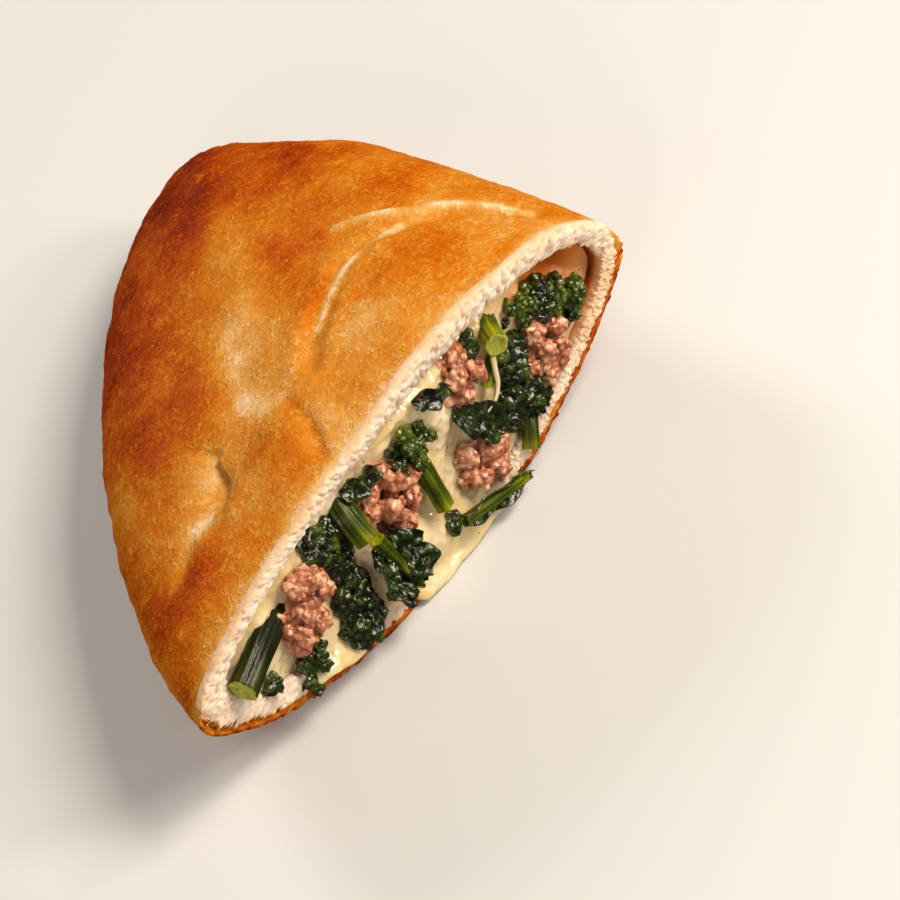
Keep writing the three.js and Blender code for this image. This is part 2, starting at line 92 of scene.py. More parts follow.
def column(*values):
    """The values one to a row, to be spread over the columns of a grid."""
    return np.array(values, float)[:, None]


def ripple(points, size, seed, waves=9):
    """Even noise about -1 to 1: sines of random directions and phases, size mm a wave."""
    rng = np.random.default_rng(seed)
    directions = rng.normal(size=(waves, points.shape[-1]))
    directions /= np.linalg.norm(directions, axis=1)[:, None]
    lengths = size * rng.uniform(0.7, 1.5, waves)
    phases = rng.uniform(0, TAU, waves)
    total = np.zeros(points.shape[:-1])
    for direction, length, phase in zip(directions, lengths, phases):
        total += np.sin(points @ direction * (TAU / length) + phase)
    usual_peak = 1.6 * math.sqrt(waves / 2)
    return total / usual_peak


def grain(points, centres, radii):
    """Height of the highest spherical cap over each point: sqrt(radius^2 - distance^2)."""
    best = np.zeros(len(points))
    for start in range(0, len(points), AT_ONCE):
        part = points[start:start + AT_ONCE]
        gap2 = ((part[:, None, :] - centres[None]) ** 2).sum(-1)
        best[start:start + AT_ONCE] = np.sqrt(np.maximum(0, radii[None] ** 2 - gap2)).max(1)
    return best


def path_distance(x, y, path):
    """Distance in plan from each point to the nearest segment of the path."""
    best = np.full(np.shape(x), 1e9)
    for (ax, ay), (bx, by) in zip(path, path[1:]):
        length2 = (bx - ax) ** 2 + (by - ay) ** 2
        t = np.clip(((x - ax) * (bx - ax) + (y - ay) * (by - ay)) / length2, 0, 1)
        best = np.minimum(best, np.hypot(x - ax - t * (bx - ax), y - ay - t * (by - ay)))
    return best


def along_path(x, y, path, width):
    """A bell across the path, the same all along it."""
    return bell(path_distance(x, y, path), width)


# ---- meshes ----
def grid_faces(rows, cols, wrap, ring=False):
    """Quads of a rows by cols grid of points, closed round the columns (wrap) and the rows (ring)."""
    i, j = np.meshgrid(np.arange(rows if ring else rows - 1), np.arange(cols if wrap else cols - 1),
                       indexing="ij")
    down, k = (i + 1) % rows, (j + 1) % cols
    quads = np.stack([i * cols + j, i * cols + k, down * cols + k, down * cols + j], -1)
    return quads.reshape(-1, 4)


def make_piece(name, points, quads, triangles=(), attributes=None, finish=None):
    """A smooth mesh object at the origin from points in mm, quads, triangles and point attributes."""
    mesh = bpy.data.meshes.new(name)
    quads = np.asarray(quads, int).reshape(-1, 4)
    triangles = np.asarray(triangles, int).reshape(-1, 3)
    loops = np.concatenate([quads.ravel(), triangles.ravel()])
    starts = np.concatenate([np.arange(len(quads)) * 4, len(quads) * 4 + np.arange(len(triangles)) * 3])
    mesh.vertices.add(len(points))
    mesh.vertices.foreach_set("co", to_row(points).astype(np.float32).ravel())
    mesh.loops.add(len(loops))
    mesh.loops.foreach_set("vertex_index", loops.astype(np.int32))
    mesh.polygons.add(len(starts))
    mesh.polygons.foreach_set("loop_start", starts.astype(np.int32))
    mesh.update(calc_edges=True)
    mesh.validate()
    mesh.polygons.foreach_set("use_smooth", np.ones(len(mesh.polygons), bool))
    for key, values in (attributes or {}).items():
        layer = mesh.attributes.new(key, "FLOAT", "POINT")
        layer.data.foreach_set("value", np.asarray(values, np.float32).ravel())
    mesh.materials.append(finish)
    piece = bpy.data.objects.new(name, mesh)
    bpy.context.scene.collection.objects.link(piece)
    return piece


def turn_out(piece):
    """Turns every face of a closed piece outwards."""
    work = bmesh.new()
    work.from_mesh(piece.data)
    bmesh.ops.recalc_face_normals(work, faces=work.faces)
    work.to_mesh(piece.data)
    work.free()
    return piece


def wrapped_skin(name, rings, start, end, attributes, finish):
    """A closed skin: rings (rows, cols, 3) joined by quads, a fan to a point at each end."""
    rows, cols = rings.shape[:2]
    points = np.concatenate([rings.reshape(-1, 3), [start], [end]])
    j = np.arange(cols)
    k = (j + 1) % cols
    first, last, base = rows * cols, rows * cols + 1, (rows - 1) * cols
    fans = np.concatenate([
        np.stack([np.full(cols, first), k, j], -1),
        np.stack([np.full(cols, last), base + j, base + k], -1),
    ])
    full = {}
    for key, values in attributes.items():
        values = np.asarray(values).reshape(rows, cols)
        full[key] = np.concatenate([values.ravel(), [values[0].mean()], [values[-1].mean()]])
    return turn_out(make_piece(name, points, grid_faces(rows, cols, True), fans, full, finish))


def settle_in(piece, node):
    """The piece rides on the body and stands for its node, whose part is hidden."""
    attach(piece, "root")
    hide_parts(node)


# ---- node materials ----
def linear(code):
    """Linear colour of an sRGB hex value: c/12.92, or ((c + 0.055)/1.055)^2.4 above 0.04045."""
    parts = [int(code[i:i + 2], 16) / 255 for i in (1, 3, 5)]
    return tuple(c / 12.92 if c <= 0.04045 else ((c + 0.055) / 1.055) ** 2.4 for c in parts) + (1.0,)


def add_node(tree, kind, inputs=(), output=0, stops=(), **settings):
    """A node with its settings, a ramp's (position, hex) stops, and its inputs in order or by name.

    An input is a socket to link or a value to set. Returns the output of that number or name.
    """
    node = tree.nodes.new("ShaderNode" + kind)
    for key, value in settings.items():
        setattr(node, key, value)
    if stops:
        elements = node.color_ramp.elements
        while len(elements) < len(stops):
            elements.new(0.5)
        for element, (position, code) in zip(elements, stops):
            element.position = position
            element.color = linear(code)
    for key, value in inputs.items() if isinstance(inputs, dict) else enumerate(inputs):
        if isinstance(value, bpy.types.NodeSocket):
            tree.links.new(value, node.inputs[key])
        else:
            node.inputs[key].default_value = value
    return node.outputs[output] if len(node.outputs) else None


def make_material(name, recipe, *details):
    """A material whose recipe gives the Principled shader's sockets, each linked or set."""
    material = bpy.data.materials.new(name)
    material.use_nodes = True
    material.node_tree.nodes.clear()
    add = partial(add_node, material.node_tree)
    place = add("TexCoord", output="Object")
    add("OutputMaterial", {"Surface": add("BsdfPrincipled", recipe(add, place, *details))})
    return material


def mottled(add, place, noises, attributes=(), start=0.0):
    """A pattern: start, plus shares of noise (mm across, detail, roughness, share) and of attributes."""
    total = start
    for size, detail, rough, share in noises:
        noise = add("TexNoise", {"Vector": place, "Scale": MM / size, "Detail": detail, "Roughness": rough})
        total = add("Math", [noise, share, total], operation="MULTIPLY_ADD")
    for name, share in attributes:
        number = add("Attribute", output="Fac", attribute_name=name)
        total = add("Math", [number, share, total], operation="MULTIPLY_ADD")
    return total


def baked_skin(add, place):
    """Baked dough skin: matt starch, unevenly baked brown, finely wrinkled, with a faint film of oil, and
    painted highlights on its wrinkle lines and dots.
    """
    # Wrinkles 0.3 mm wide: curled lines where a 1.6 mm noise crosses its middle value, broken up.
    curls = mottled(add, place, [(1.6, 1.0, 0.5, 1.0)], start=-0.5)
    away = add("Math", [curls], operation="ABSOLUTE")
    wrinkles_and_glints = add("Math", [away, -1 / 0.075, 1.0], operation="MULTIPLY_ADD", use_clamp=True)
    gaps = mottled(add, place, [(3.4, 2.0, 0.5, 1.0)], start=-0.32)
    broken = add("Math", [gaps, 4.0], operation="MULTIPLY", use_clamp=True)
    wrinkles_and_glints = add("Math", [wrinkles_and_glints, broken], operation="MULTIPLY")
    # Dots 0.4 mm wide, one in each 2 mm or so: pale blistered starch, with a painted highlight on each.
    spots = add("TexVoronoi", {"Vector": place, "Scale": MM / 2.0}, feature="F1")
    dots = add("Math", [spots, 0.11], operation="LESS_THAN")
    dots = add("Math", [dots, 1.8], operation="MULTIPLY")
    wrinkles_and_glints = add("Math", [wrinkles_and_glints, dots], operation="MAXIMUM")
    # Patches, mottles and specks, each about its mean: half their shares come off again.
    noises = [(16, 2.0, 0.5, 0.34), (4.5, 4.0, 0.65, 0.36), (1.1, 3.0, 0.7, 0.28)]
    bake = mottled(add, place, noises, [("bake", 1.0)], -0.5 * sum(share for *_, share in noises))
    # Painted highlights: the wrinkles and dots are painted paler than the skin round them.
    bake = add("Math", [wrinkles_and_glints, -0.17, bake], operation="MULTIPLY_ADD", use_clamp=True)
    tone = add("ValToRGB", [bake], stops=[
        (0.0, "#e6cda8"), (0.15, "#d8ab6e"), (0.3, "#cd8f36"), (0.46, "#c4720e"),
        (0.62, "#ae4b02"), (0.8, "#842600"), (1.0, "#4c1200")])
    pits = add("TexVoronoi", {"Vector": place, "Scale": MM / 1.7}, feature="SMOOTH_F1")
    height = mottled(add, place, [(0.9, 4.0, 0.65, 1.0)])
    for relief in (pits, wrinkles_and_glints):
        height = add("Math", [relief, 0.35, height], operation="MULTIPLY_ADD")
    bump = add("Bump", {"Height": height, "Distance": 0.0004, "Strength": 1.0})
    return {"Base Color": tone, "Normal": bump, "Coat Normal": bump, "Roughness": 0.7,
            "Specular IOR Level": 0.0, "Coat Weight": 0.16, "Coat Roughness": 0.3}


def bread_crumb(add, place):
    """Baked crumb at a cut: pinkish cream, matt, finely porous, light passes a little way into it."""
    cream = add("ValToRGB", [mottled(add, place, [(3.0, 4.0, 0.6, 1.0)])], stops=[
        (0.25, "#cfb29a"), (0.5, "#e4d0be"), (0.8, "#f2e6dc")])
    # Browner where toasted at the skin's edge, and deep in the pocket, where it is partly painted shade.
    toast = add("Attribute", output="Fac", attribute_name="toast")
    brown = add("ValToRGB", [toast], stops=[
        (0.0, "#e4d0be"), (0.35, "#e0aa66"), (0.7, "#c4732a"), (1.0, "#8a3d0c")])
    share = add("Math", [toast, 1.2], operation="MULTIPLY", use_clamp=True)
    tone = add("Mix", {0: share, 6: cream, 7: brown}, 2, data_type="RGBA")
    pores = add("TexVoronoi", {"Vector": place, "Scale": MM / 0.8}, feature="F1")
    height = add("Math", [pores, mottled(add, place, [(0.5, 3.0, 0.7, 1.0)])], operation="ADD")
    bump = add("Bump", {"Height": height, "Distance": 0.00015, "Strength": 0.6})
    return {"Base Color": tone, "Normal": bump, "Coat Normal": bump, "Roughness": 0.6, "IOR": 1.4,
            "Specular IOR Level": 0.3, "Subsurface Weight": 0.6,
            "Subsurface Radius": (1.0, 0.7, 0.45), "Subsurface Scale": 0.002}


def melted_cheese(add, place):
    """Melted cheese: cream, smooth and wet with its own fat, light passes well into it."""
    cream = add("ValToRGB", [mottled(add, place, [(9, 3.0, 0.5, 1.0), (1.6, 3.0, 0.5, 0.3)])], stops=[
        (0.35, "#ccb072"), (0.6, "#e0ca9a"), (0.85, "#eddfbe")])
    # Specks of herb and browned fat 0.3 to 0.5 mm wide, one or so in each 3 mm.
    spots = add("TexVoronoi", {"Vector": place, "Scale": MM / 3.2}, feature="F1")
    specks = add("Math", [spots, 0.085], operation="LESS_THAN")
    specks = add("Math", [specks, 0.7], operation="MULTIPLY")
    tone = add("Mix", {0: specks, 6: cream, 7: linear("#75601c")}, 2, data_type="RGBA")
    # Orange oil, matt beside the wet cheese, in the corner of the pocket; the orange also paints the shade of
    # the pocket's hollow.
    oil_and_shade_amount = add("Attribute", output="Fac", attribute_name="browned")
    tone = add("Mix", {0: oil_and_shade_amount, 6: tone, 7: linear("#f28f20")}, 2, data_type="RGBA")
    wet = add("Math", [oil_and_shade_amount, -0.9, 0.9], operation="MULTIPLY_ADD")
    height = mottled(add, place, [(2.2, 3.0, 0.5, 1.0)])
    bump = add("Bump", {"Height": height, "Distance": 0.0003, "Strength": 0.6})
    return {"Base Color": tone, "Normal": bump, "Coat Normal": bump, "Roughness": 0.3, "IOR": 1.46,
            "Specular IOR Level": 0.3, "Subsurface Weight": 0.6, "Subsurface Radius": (1.0, 0.78, 0.4),
            "Subsurface Scale": 0.0025, "Coat Weight": wet, "Coat Roughness": 0.09}


def cooked_sausage(add, place):
    """Cooked ground sausage: pinkish brown, moist, darker and browner in its crevices as painted shade, paler
    on its tops as painted highlights.
    """
    noises = [(3.2, 3.0, 0.5, 0.48), (0.8, 3.0, 0.5, 0.21)]
    meat = mottled(add, place, noises, [("tint", 0.34), ("proud", 0.4)])
    tone = add("ValToRGB", [meat], stops=[
        (0.25, "#401608"), (0.4, "#7e3a20"), (0.58, "#a05c3e"), (0.8, "#b87858"), (1.0, "#d6a486")])
    height = mottled(add, place, [(0.7, 4.0, 0.6, 1.0)])
    bump = add("Bump", {"Height": height, "Distance": 0.00025, "Strength": 0.7})
    return {"Base Color": tone, "Normal": bump, "Coat Normal": bump, "Roughness": 0.4, "IOR": 1.44,
            "Specular IOR Level": 0.3, "Subsurface Weight": 0.25, "Subsurface Radius": (1.0, 0.4, 0.25),
            "Subsurface Scale": 0.001, "Coat Weight": 1.0, "Coat IOR": 1.65, "Coat Roughness": 0.1}


def cooked_greens(add, place, size, own, stops):
    """Cooked leaf or buds: dark green, wet with oil, with painted highlights where they stand out and painted
    shade in the crevices.
    """
    leaf_tone = mottled(add, place, [(size, 4.0, 0.6, 0.5)], [("proud", 0.4), ("tint", own)])
    tone = add("ValToRGB", [leaf_tone], stops=stops)
    height = mottled(add, place, [(1.1, 3.0, 0.55, 1.0)])
    bump = add("Bump", {"Height": height, "Distance": 0.0004, "Strength": 0.8})
    return {"Base Color": tone, "Normal": bump, "Coat Normal": bump, "Roughness": 0.4,
            "Specular IOR Level": 0.1, "Coat Weight": 1.0, "Coat IOR": 1.6, "Coat Roughness": 0.1}


def cooked_stem(add, place):
    """Cooked stem: green skin with paler ribs and painted shade towards its start, pale wet pith at a cut
    end.
    """
    skin = add("ValToRGB", [mottled(add, place, [(3, 3.0, 0.5, 0.5)], [("proud", 1.0)])], stops=[
        (0.25, "#0f1a01"), (0.5, "#2b3a02"), (0.75, "#566204"), (1.0, "#90940c")])
    pith = add("ValToRGB", [mottled(add, place, [(1.2, 2.0, 0.5, 1.0)])], stops=[
        (0.35, "#8f9a2c"), (0.65, "#aeb34e")])
    cut = add("Attribute", output="Fac", attribute_name="cut")
    tone = add("Mix", {0: cut, 6: skin, 7: pith}, 2, data_type="RGBA")
    height = mottled(add, place, [(0.8, 3.0, 0.6, 1.0)])
    bump = add("Bump", {"Height": height, "Distance": 0.0002, "Strength": 0.6})
    return {"Base Color": tone, "Normal": bump, "Coat Normal": bump, "Roughness": 0.45,
            "Specular IOR Level": 0.1, "Coat Weight": 0.3, "Coat Roughness": 0.16,
            "Subsurface Weight": 0.1, "Subsurface Scale": 0.001}


def studio_floor(add, place):
    """Matt painted board: a cool pale grey that the warm lamps turn to cream."""
    return {"Base Color": linear("#d2d9e4"), "Roughness": 0.6}


# ---- the dough's form ----
CREASE_LONG = [(66, 20), (72, 24), (82, 28.5), (89, 30.5), (98, 30), (106, 25.5), (115, 18), (120, 8)]
CREASE_HIGH = [(95, 34.5), (103, 27.5), (114, 20)]
CREASE_RIM = [(56, 13.5), (52, 9), (49, 4)]
VALLEY = [(66, 38), (52, 25), (39, 20), (24, 15)]


def undulation(x, y):
    """Unevenness of hand-shaped dough, -1 to 1: three sines in plan."""
    a = np.sin(0.083 * x + 0.9) * np.cos(0.071 * y - 0.4)
    return (a + 0.6 * np.sin(0.157 * x - 0.131 * y + 2.1) + 0.35 * np.sin(0.29 * x + 0.23 * y + 0.6)) / 1.6


def outline(y):
    """Seam side and fold side of the plan at depth y: superellipse quarters from rim to horn."""
    u = y / DEPTH
    seam = HORN_X * (1 - quarter(u, 1.31, 1.425))
    fold = HORN_X + (CHORD - HORN_X) * quarter(u, 5.4, 2.75) + 2.7 * np.sin(math.pi * u)
    return seam, fold


def heights(y):
    """Middle height, rise above it and drop below it at depth y."""
    u = np.clip(y / DEPTH, 0, 1)
    middle = MIDDLE_Z + (HORN_Z - MIDDLE_Z) * u ** 1.5
    return middle, TOP_RISE * quarter(u, 2.14, 1.94), BOTTOM_DROP * quarter(u, 4.5, 2.2)


def rise(phi, up, down, skew):
    """Superellipse arch over (exponent 2.08) and under (1.64) a section of unit half-width."""
    c, s = np.cos(phi), np.sin(phi)
    over = up * np.maximum(0, 1 - np.abs(c) ** 2.08) ** (1 / 2.08) * (1 + skew * c)
    under = -down * np.maximum(0, 1 - np.abs(c) ** 1.64) ** (1 / 1.64)
    return np.where(s >= -1e-9, over, under)


def settle(z):
    """Height on the table: (z + r)^2 / 4r within r of it, 0 below."""
    r = BASE_SOFTNESS
    return np.where(z >= r, z, np.where(z <= -r, 0, (z + r) ** 2 / (4 * r)))


def top_relief(x, y):
    """Relief of the top crust: undulation, creases as narrow bells along paths, a dimple."""
    long_crease = path_distance(x, y, CREASE_LONG)
    d = 0.9 * undulation(x, y) - 0.9 * bell(long_crease, 2.2) + 0.5 * bell(long_crease - 3.4, 2.2)
    for path, width, deep in ((CREASE_HIGH, 1.8, 0.6), (CREASE_RIM, 1.6, 0.5), (VALLEY, 6, 0.9)):
        d = d - deep * along_path(x, y, path, width)
    return d - 2.4 * bell(np.hypot(x - 37, (y - 22) * 1.3), 5.5)


def crust_point(y, phi, inward=0.0, extra=0.0):
    """Outer face at depth y and angle phi: section arch, pushed along its radius by the relief."""
    seam, fold = outline(y)
    middle, up, down = heights(y)
    half = (fold - seam) / 2
    dx = half * np.cos(phi)
    dz = rise(phi, up, down, 0.24)
    x = (seam + fold) / 2 + dx
    lift = np.clip(np.sin(phi) * 2.2, 0, 1) * np.minimum(1, up / 8)
    side = 0.5 * undulation(2.1 * x + 40, 2.1 * y) * (1 - lift) * np.minimum(1, half / 12)
    length = np.maximum(1e-6, np.hypot(dx, dz))
    push = lift * top_relief(x, y) + side + extra - inward
    z = settle(middle + dz + push * dz / length)
    return np.stack([x + push * dx / length, y + 0 * x, z], -1)


def pocket_point(y, phi, inset=0.0):
    """Wall of the pocket at depth y and angle phi: the crust's section less the wall's thickness."""
    seam, fold = outline(np.maximum(0, y))
    middle, up, down = heights(np.maximum(0, y))
    close = quarter(np.maximum(0, y) / (POCKET_DEPTH - inset), 5, 2)
    left, right = seam + SEAM_WALL + inset, fold - FOLD_WALL - inset
    half = np.maximum(0, (right - left) / 2 * close)
    top = np.maximum(0.5, up - TOP_WALL - POCKET_LIFT - inset) * close
    bottom = np.maximum(0.5, down - BOTTOM_WALL - 0.4 - inset) * close
    x = (left + right) / 2 + half * np.cos(phi)
    return np.stack([x, y + 0 * x, middle + POCKET_LIFT + rise(phi, top, bottom, 0.2)], -1)


def pocket_end(short):
    """The deepest point of the pocket, short mm before its full depth."""
    seam, fold = outline(POCKET_DEPTH)
    middle = (seam + fold + SEAM_WALL - FOLD_WALL) / 2
    return [middle, POCKET_DEPTH - short, heights(POCKET_DEPTH)[0] + POCKET_LIFT]


# Where the crust is baked browner or paler than round about: x, y, z, reach, amount.
BROWNED = [(100, 15, 46, 9, 0.1), (87, 39, 45, 13, 0.1), (98, 79, 35, 11, 0.12), (78, 33, 45, 7, 0.06),
           (108, 93, 29, 15, 0.25), (117, 76, 34, 13, 0.22), (91, 98, 21, 15, 0.28), (117, 58, 38, 10, 0.16),
           (45, 40, 37, 10, 0.02), (50, 51, 35, 14, 0.05), (64, 74, 29, 20, 0.2), (13, 17, 32, 9, 0.19),
           (76, 81, 29, 22, 0.12), (36, 58, 22, 18, 0.16), (67, 17, 46, 6, 0.04), (21, 24, 34, 9, 0.06),
           (43, 3, 44, 6, 0.04), (84, 32, 45, 4, 0.1), (97, 75, 36, 8, 0.05), (26, 14, 39, 8, 0.22),
           (121, 38, 39, 9, 0.1), (33, 40, 33, 13, 0.02), (10, 3, 34, 7, 0.04), (90, 60, 38, 12, 0.06)]
# The broad paler spot at x 112, y 14, z 43 is partly a painted highlight on the top's right.
PALER = [(70, 43, 42, 5, 0.1), (63, 36, 43, 5, 0.14), (55, 29, 43, 6, 0.14), (53, 23, 44, 5, 0.14),
         (51, 14, 45, 7, 0.07), (83, 56, 41, 7, 0.04), (70, 12, 47, 9, 0.11), (29, 22, 38, 4, 0.22),
         (38.2, 24.2, 41, 5, 0.32), (80, 10, 47, 9, 0.12), (56, 10, 46, 4, 0.12), (35, 13, 41, 4, 0.06),
         (115, 12, 43, 8, 0.14), (105, 26, 44, 5, 0.18), (95, 28, 46, 4, 0.1), (41, 35, 38, 8, 0.05),
         (26, 23, 36, 7, 0.06), (112, 14, 43, 13, 0.05), (10, 8, 30, 7, 0.1), (42, 28, 40, 4, 0.14)]
# Ridges, folds and pinches of the top crust, in plan.
RIDGE_LONG = [(74, 24.5), (80, 27.4), (84, 28.5), (89, 29.7), (95, 29.5), (100, 28.6), (103, 27.4)]
RIDGE_LOW = [(103, 27.4), (107, 23.2), (111, 16.7), (114, 10)]
RIDGE_HIGH = [(98, 39.8), (102, 35), (106, 29.7), (113, 23.6), (117, 15.9), (119, 9)]
FOLD_LINE = [(57.5, 19), (55.4, 13), (52.4, 8), (49, 4)]
PIT_WALL = [31.6, 34.5, 38, 41, 42.5], [18.8, 17.9, 19.2, 21.8, 26]  # x, and y of the wall there
TUCK = [(31, 19.7), (27, 20.6), (21.5, 19.1), (18, 17.9)]
VALLEY_LINE = [(68, 43.3), (62.6, 37.7), (57.8, 31.8), (55.2, 26.5), (54.5, 23.5)]
VALLEY_FORK = [(55.5, 29), (51.5, 30), (47.5, 26.5), (45.5, 22.5)]
PIT_LIP = [(43.5, 22), (39.5, 16.8), (34, 15.4)]
# Grooves and ridges: path, width, height. Swells: x, y, width, height.
GROOVES = [(FOLD_LINE, 1.0, -0.55), (TUCK, 1.5, -1.0), (PIT_LIP, 1.6, 0.7)]
SWELLS = [(51, 14.5, 5, 0.8), (26, 13.5, 5.5, 1.0), (42.5, 6, 6, 0.6), (38.8, 25, 2.2, 1.3)]
# Lines browner or paler than the skin beside them: path, width, amount. The fold line's browning is painted
# shade in its groove.
BAKED_AND_SHADED_LINES = [(FOLD_LINE, 0.8, 0.07), (TUCK, 1.8, -0.2),
               (VALLEY_LINE, 2.4, -0.16), (VALLEY_FORK, 2.2, -0.12)]


def fine_relief(points):
    """Relief finer than the solid's: ridges, grooves and swells as bells, and the pinched pit.

    Behind the line of its wall the pit drops 5 mm within 1.3 mm and rises again as half a bell.
    """
    x, y = points[..., 0], points[..., 1]
    broken = 0.75 + 0.35 * ripple(points, 9, 15)
    d = 0 * x
    for path, tall in ((RIDGE_LONG, 0.6), (RIDGE_LOW, 0.25), (RIDGE_HIGH, 0.55)):
        away = path_distance(x, y, path)
        d = d + broken * (tall * bell(away, 0.8) - 0.5 * tall * bell(away - 1.9, 1.2))
    for path, width, tall in GROOVES:
        d = d + tall * along_path(x, y, path, width)
    for at_x, at_y, width, tall in SWELLS:
        d = d + tall * bell(np.hypot(x - at_x, y - at_y), width)
    behind = y - np.interp(x, PIT_WALL[0], PIT_WALL[1])
    return d - 5.0 * smooth(behind, -0.3, 1.0) * bell(behind, 5.2) * bell(x - 38.2, 4.4)


def bake_and_light_of(points, upward):
    """How far each point of the skin is baked brown, 0 to 1, with painted light in it: bells about places and
    along paths.
    """
    x, y, z = points[..., 0], points[..., 1], points[..., 2]
    bake = 0.47 + 0.05 * ripple(points * [1, 1, 1.6], 42, 3) + 0.06 * ripple(points, 15, 4)
    bake = bake + 0.2 * (1 - upward) * smooth(z, 30, 6)
    for spots, sign in ((BROWNED, 1), (PALER, -1)):
        for *place, reach, amount in spots:
            bake = bake + sign * amount * bell(np.linalg.norm(points - place, axis=-1), reach)
    broken = np.clip(0.7 + 0.5 * ripple(points, 7, 16), 0, 1)
    # Painted highlights: the crests of the long and high ridges are painted paler.
    for path, amount in ((RIDGE_LONG, 0.44), (RIDGE_HIGH, 0.46)):
        bake = bake - amount * broken * upward * along_path(x, y, path, 1.0)
    # The fold line is painted browner: painted shade in its groove.
    for path, width, amount in BAKED_AND_SHADED_LINES:
        bake = bake + amount * upward * along_path(x, y, path, width)
    bake = bake + (1 - upward) * bell(y, 3) * (0.1 + 0.3 * ripple(points, 1.9, 20))
    # The skin pales towards the cut, over a wider strip along the middle of the top.
    strip = np.maximum(1.5, 2.6 + 3.2 * bell(x - 68, 17) + 0.8 * ripple(points, 11, 17))
    return np.clip(bake - upward * (0.2 * bell(y, 1.6) + 0.15 * bell(y, strip)), 0, 1)


def top_heavy(around):
    """Angles all round a section, closer over the top: a + 0.35 (cos a - 1) for even a."""
    even = np.arange(around) * TAU / around
    return even + 0.35 * (np.cos(even) - 1)


def build_skin(finish):
    """Skin from the horn to the rim, over the cut edge and on along the pocket's wall.

    Rings lie at y = depth * sin(pi t^1.3 / 2), with angles phi all round. The relief adds even
    noise, blisters as caps, the fine relief of the top, and flakes where the bottom crust ends.
    """
    phi = top_heavy(SKIN_ROUND)
    t = np.linspace(0.999, 0, SKIN_RINGS)
    y = (DEPTH * np.sin(math.pi / 2 * t ** 1.3))[:, None]
    base = crust_point(y, phi)
    upward = smooth(np.sin(phi), -0.15, 0.25) * np.ones_like(y)
    rng = np.random.default_rng(RNG_SEED)
    spots = base.reshape(-1, 3)
    at = rng.integers(0, len(spots), BLISTERS)
    blisters = grain(spots, spots[at], rng.uniform(0.9, 2.6, BLISTERS)).reshape(upward.shape)
    bake = bake_and_light_of(base, upward)
    rough = 0.16 * ripple(base, 9, 11) + 0.08 * ripple(base, 3.2, 12)
    rough = rough + 0.09 * (0.6 - np.abs(ripple(base, 3.4, 13))) + 0.04 * ripple(base, 1.6, 14)
    fade = smooth(y, 0.0, 3.0)
    extra = (rough + 0.22 * blisters * smooth(bake, 0.5, 0.75)) * (0.35 + 0.65 * fade) - 0.2
    extra = extra + upward * fine_relief(base)
    flakes = 0.4 + 0.9 * smooth(base[..., 0], 3, 18) * np.abs(ripple(base, 1.8, 19))
    extra = extra + (1 - upward) * smooth(y, 3.5, 0) * flakes
    outer = crust_point(y, phi, extra=extra)
    lip = crust_point(column(0.1, 0.6), phi, inward=column(0.5, 1.2))
    steps = np.linspace(0.02, 0.985, WALL_RINGS)[:, None]
    inner = pocket_point(POCKET_DEPTH * np.sin(math.pi / 2 * steps), phi)
    flaky = (1 - upward[:1]) * (0.75 + 0.2 * ripple(lip, 2.5, 18))
    bake = np.concatenate([bake, 0.1 + 0.6 * flaky, np.full((len(inner), SKIN_ROUND), 0.1)])
    horn = [HORN_X + 0.3, DEPTH - 0.2, HORN_Z]
    rings = np.concatenate([outer, lip, inner])
    return wrapped_skin("crust_skin", rings, horn, pocket_end(0.5), {"bake": bake}, finish)


def line_of(phi):
    """Points on a circle of the section's size, 40 mm in radius, for noise along the rim."""
    return np.stack([40 * np.cos(phi), 40 * np.sin(phi)], -1)


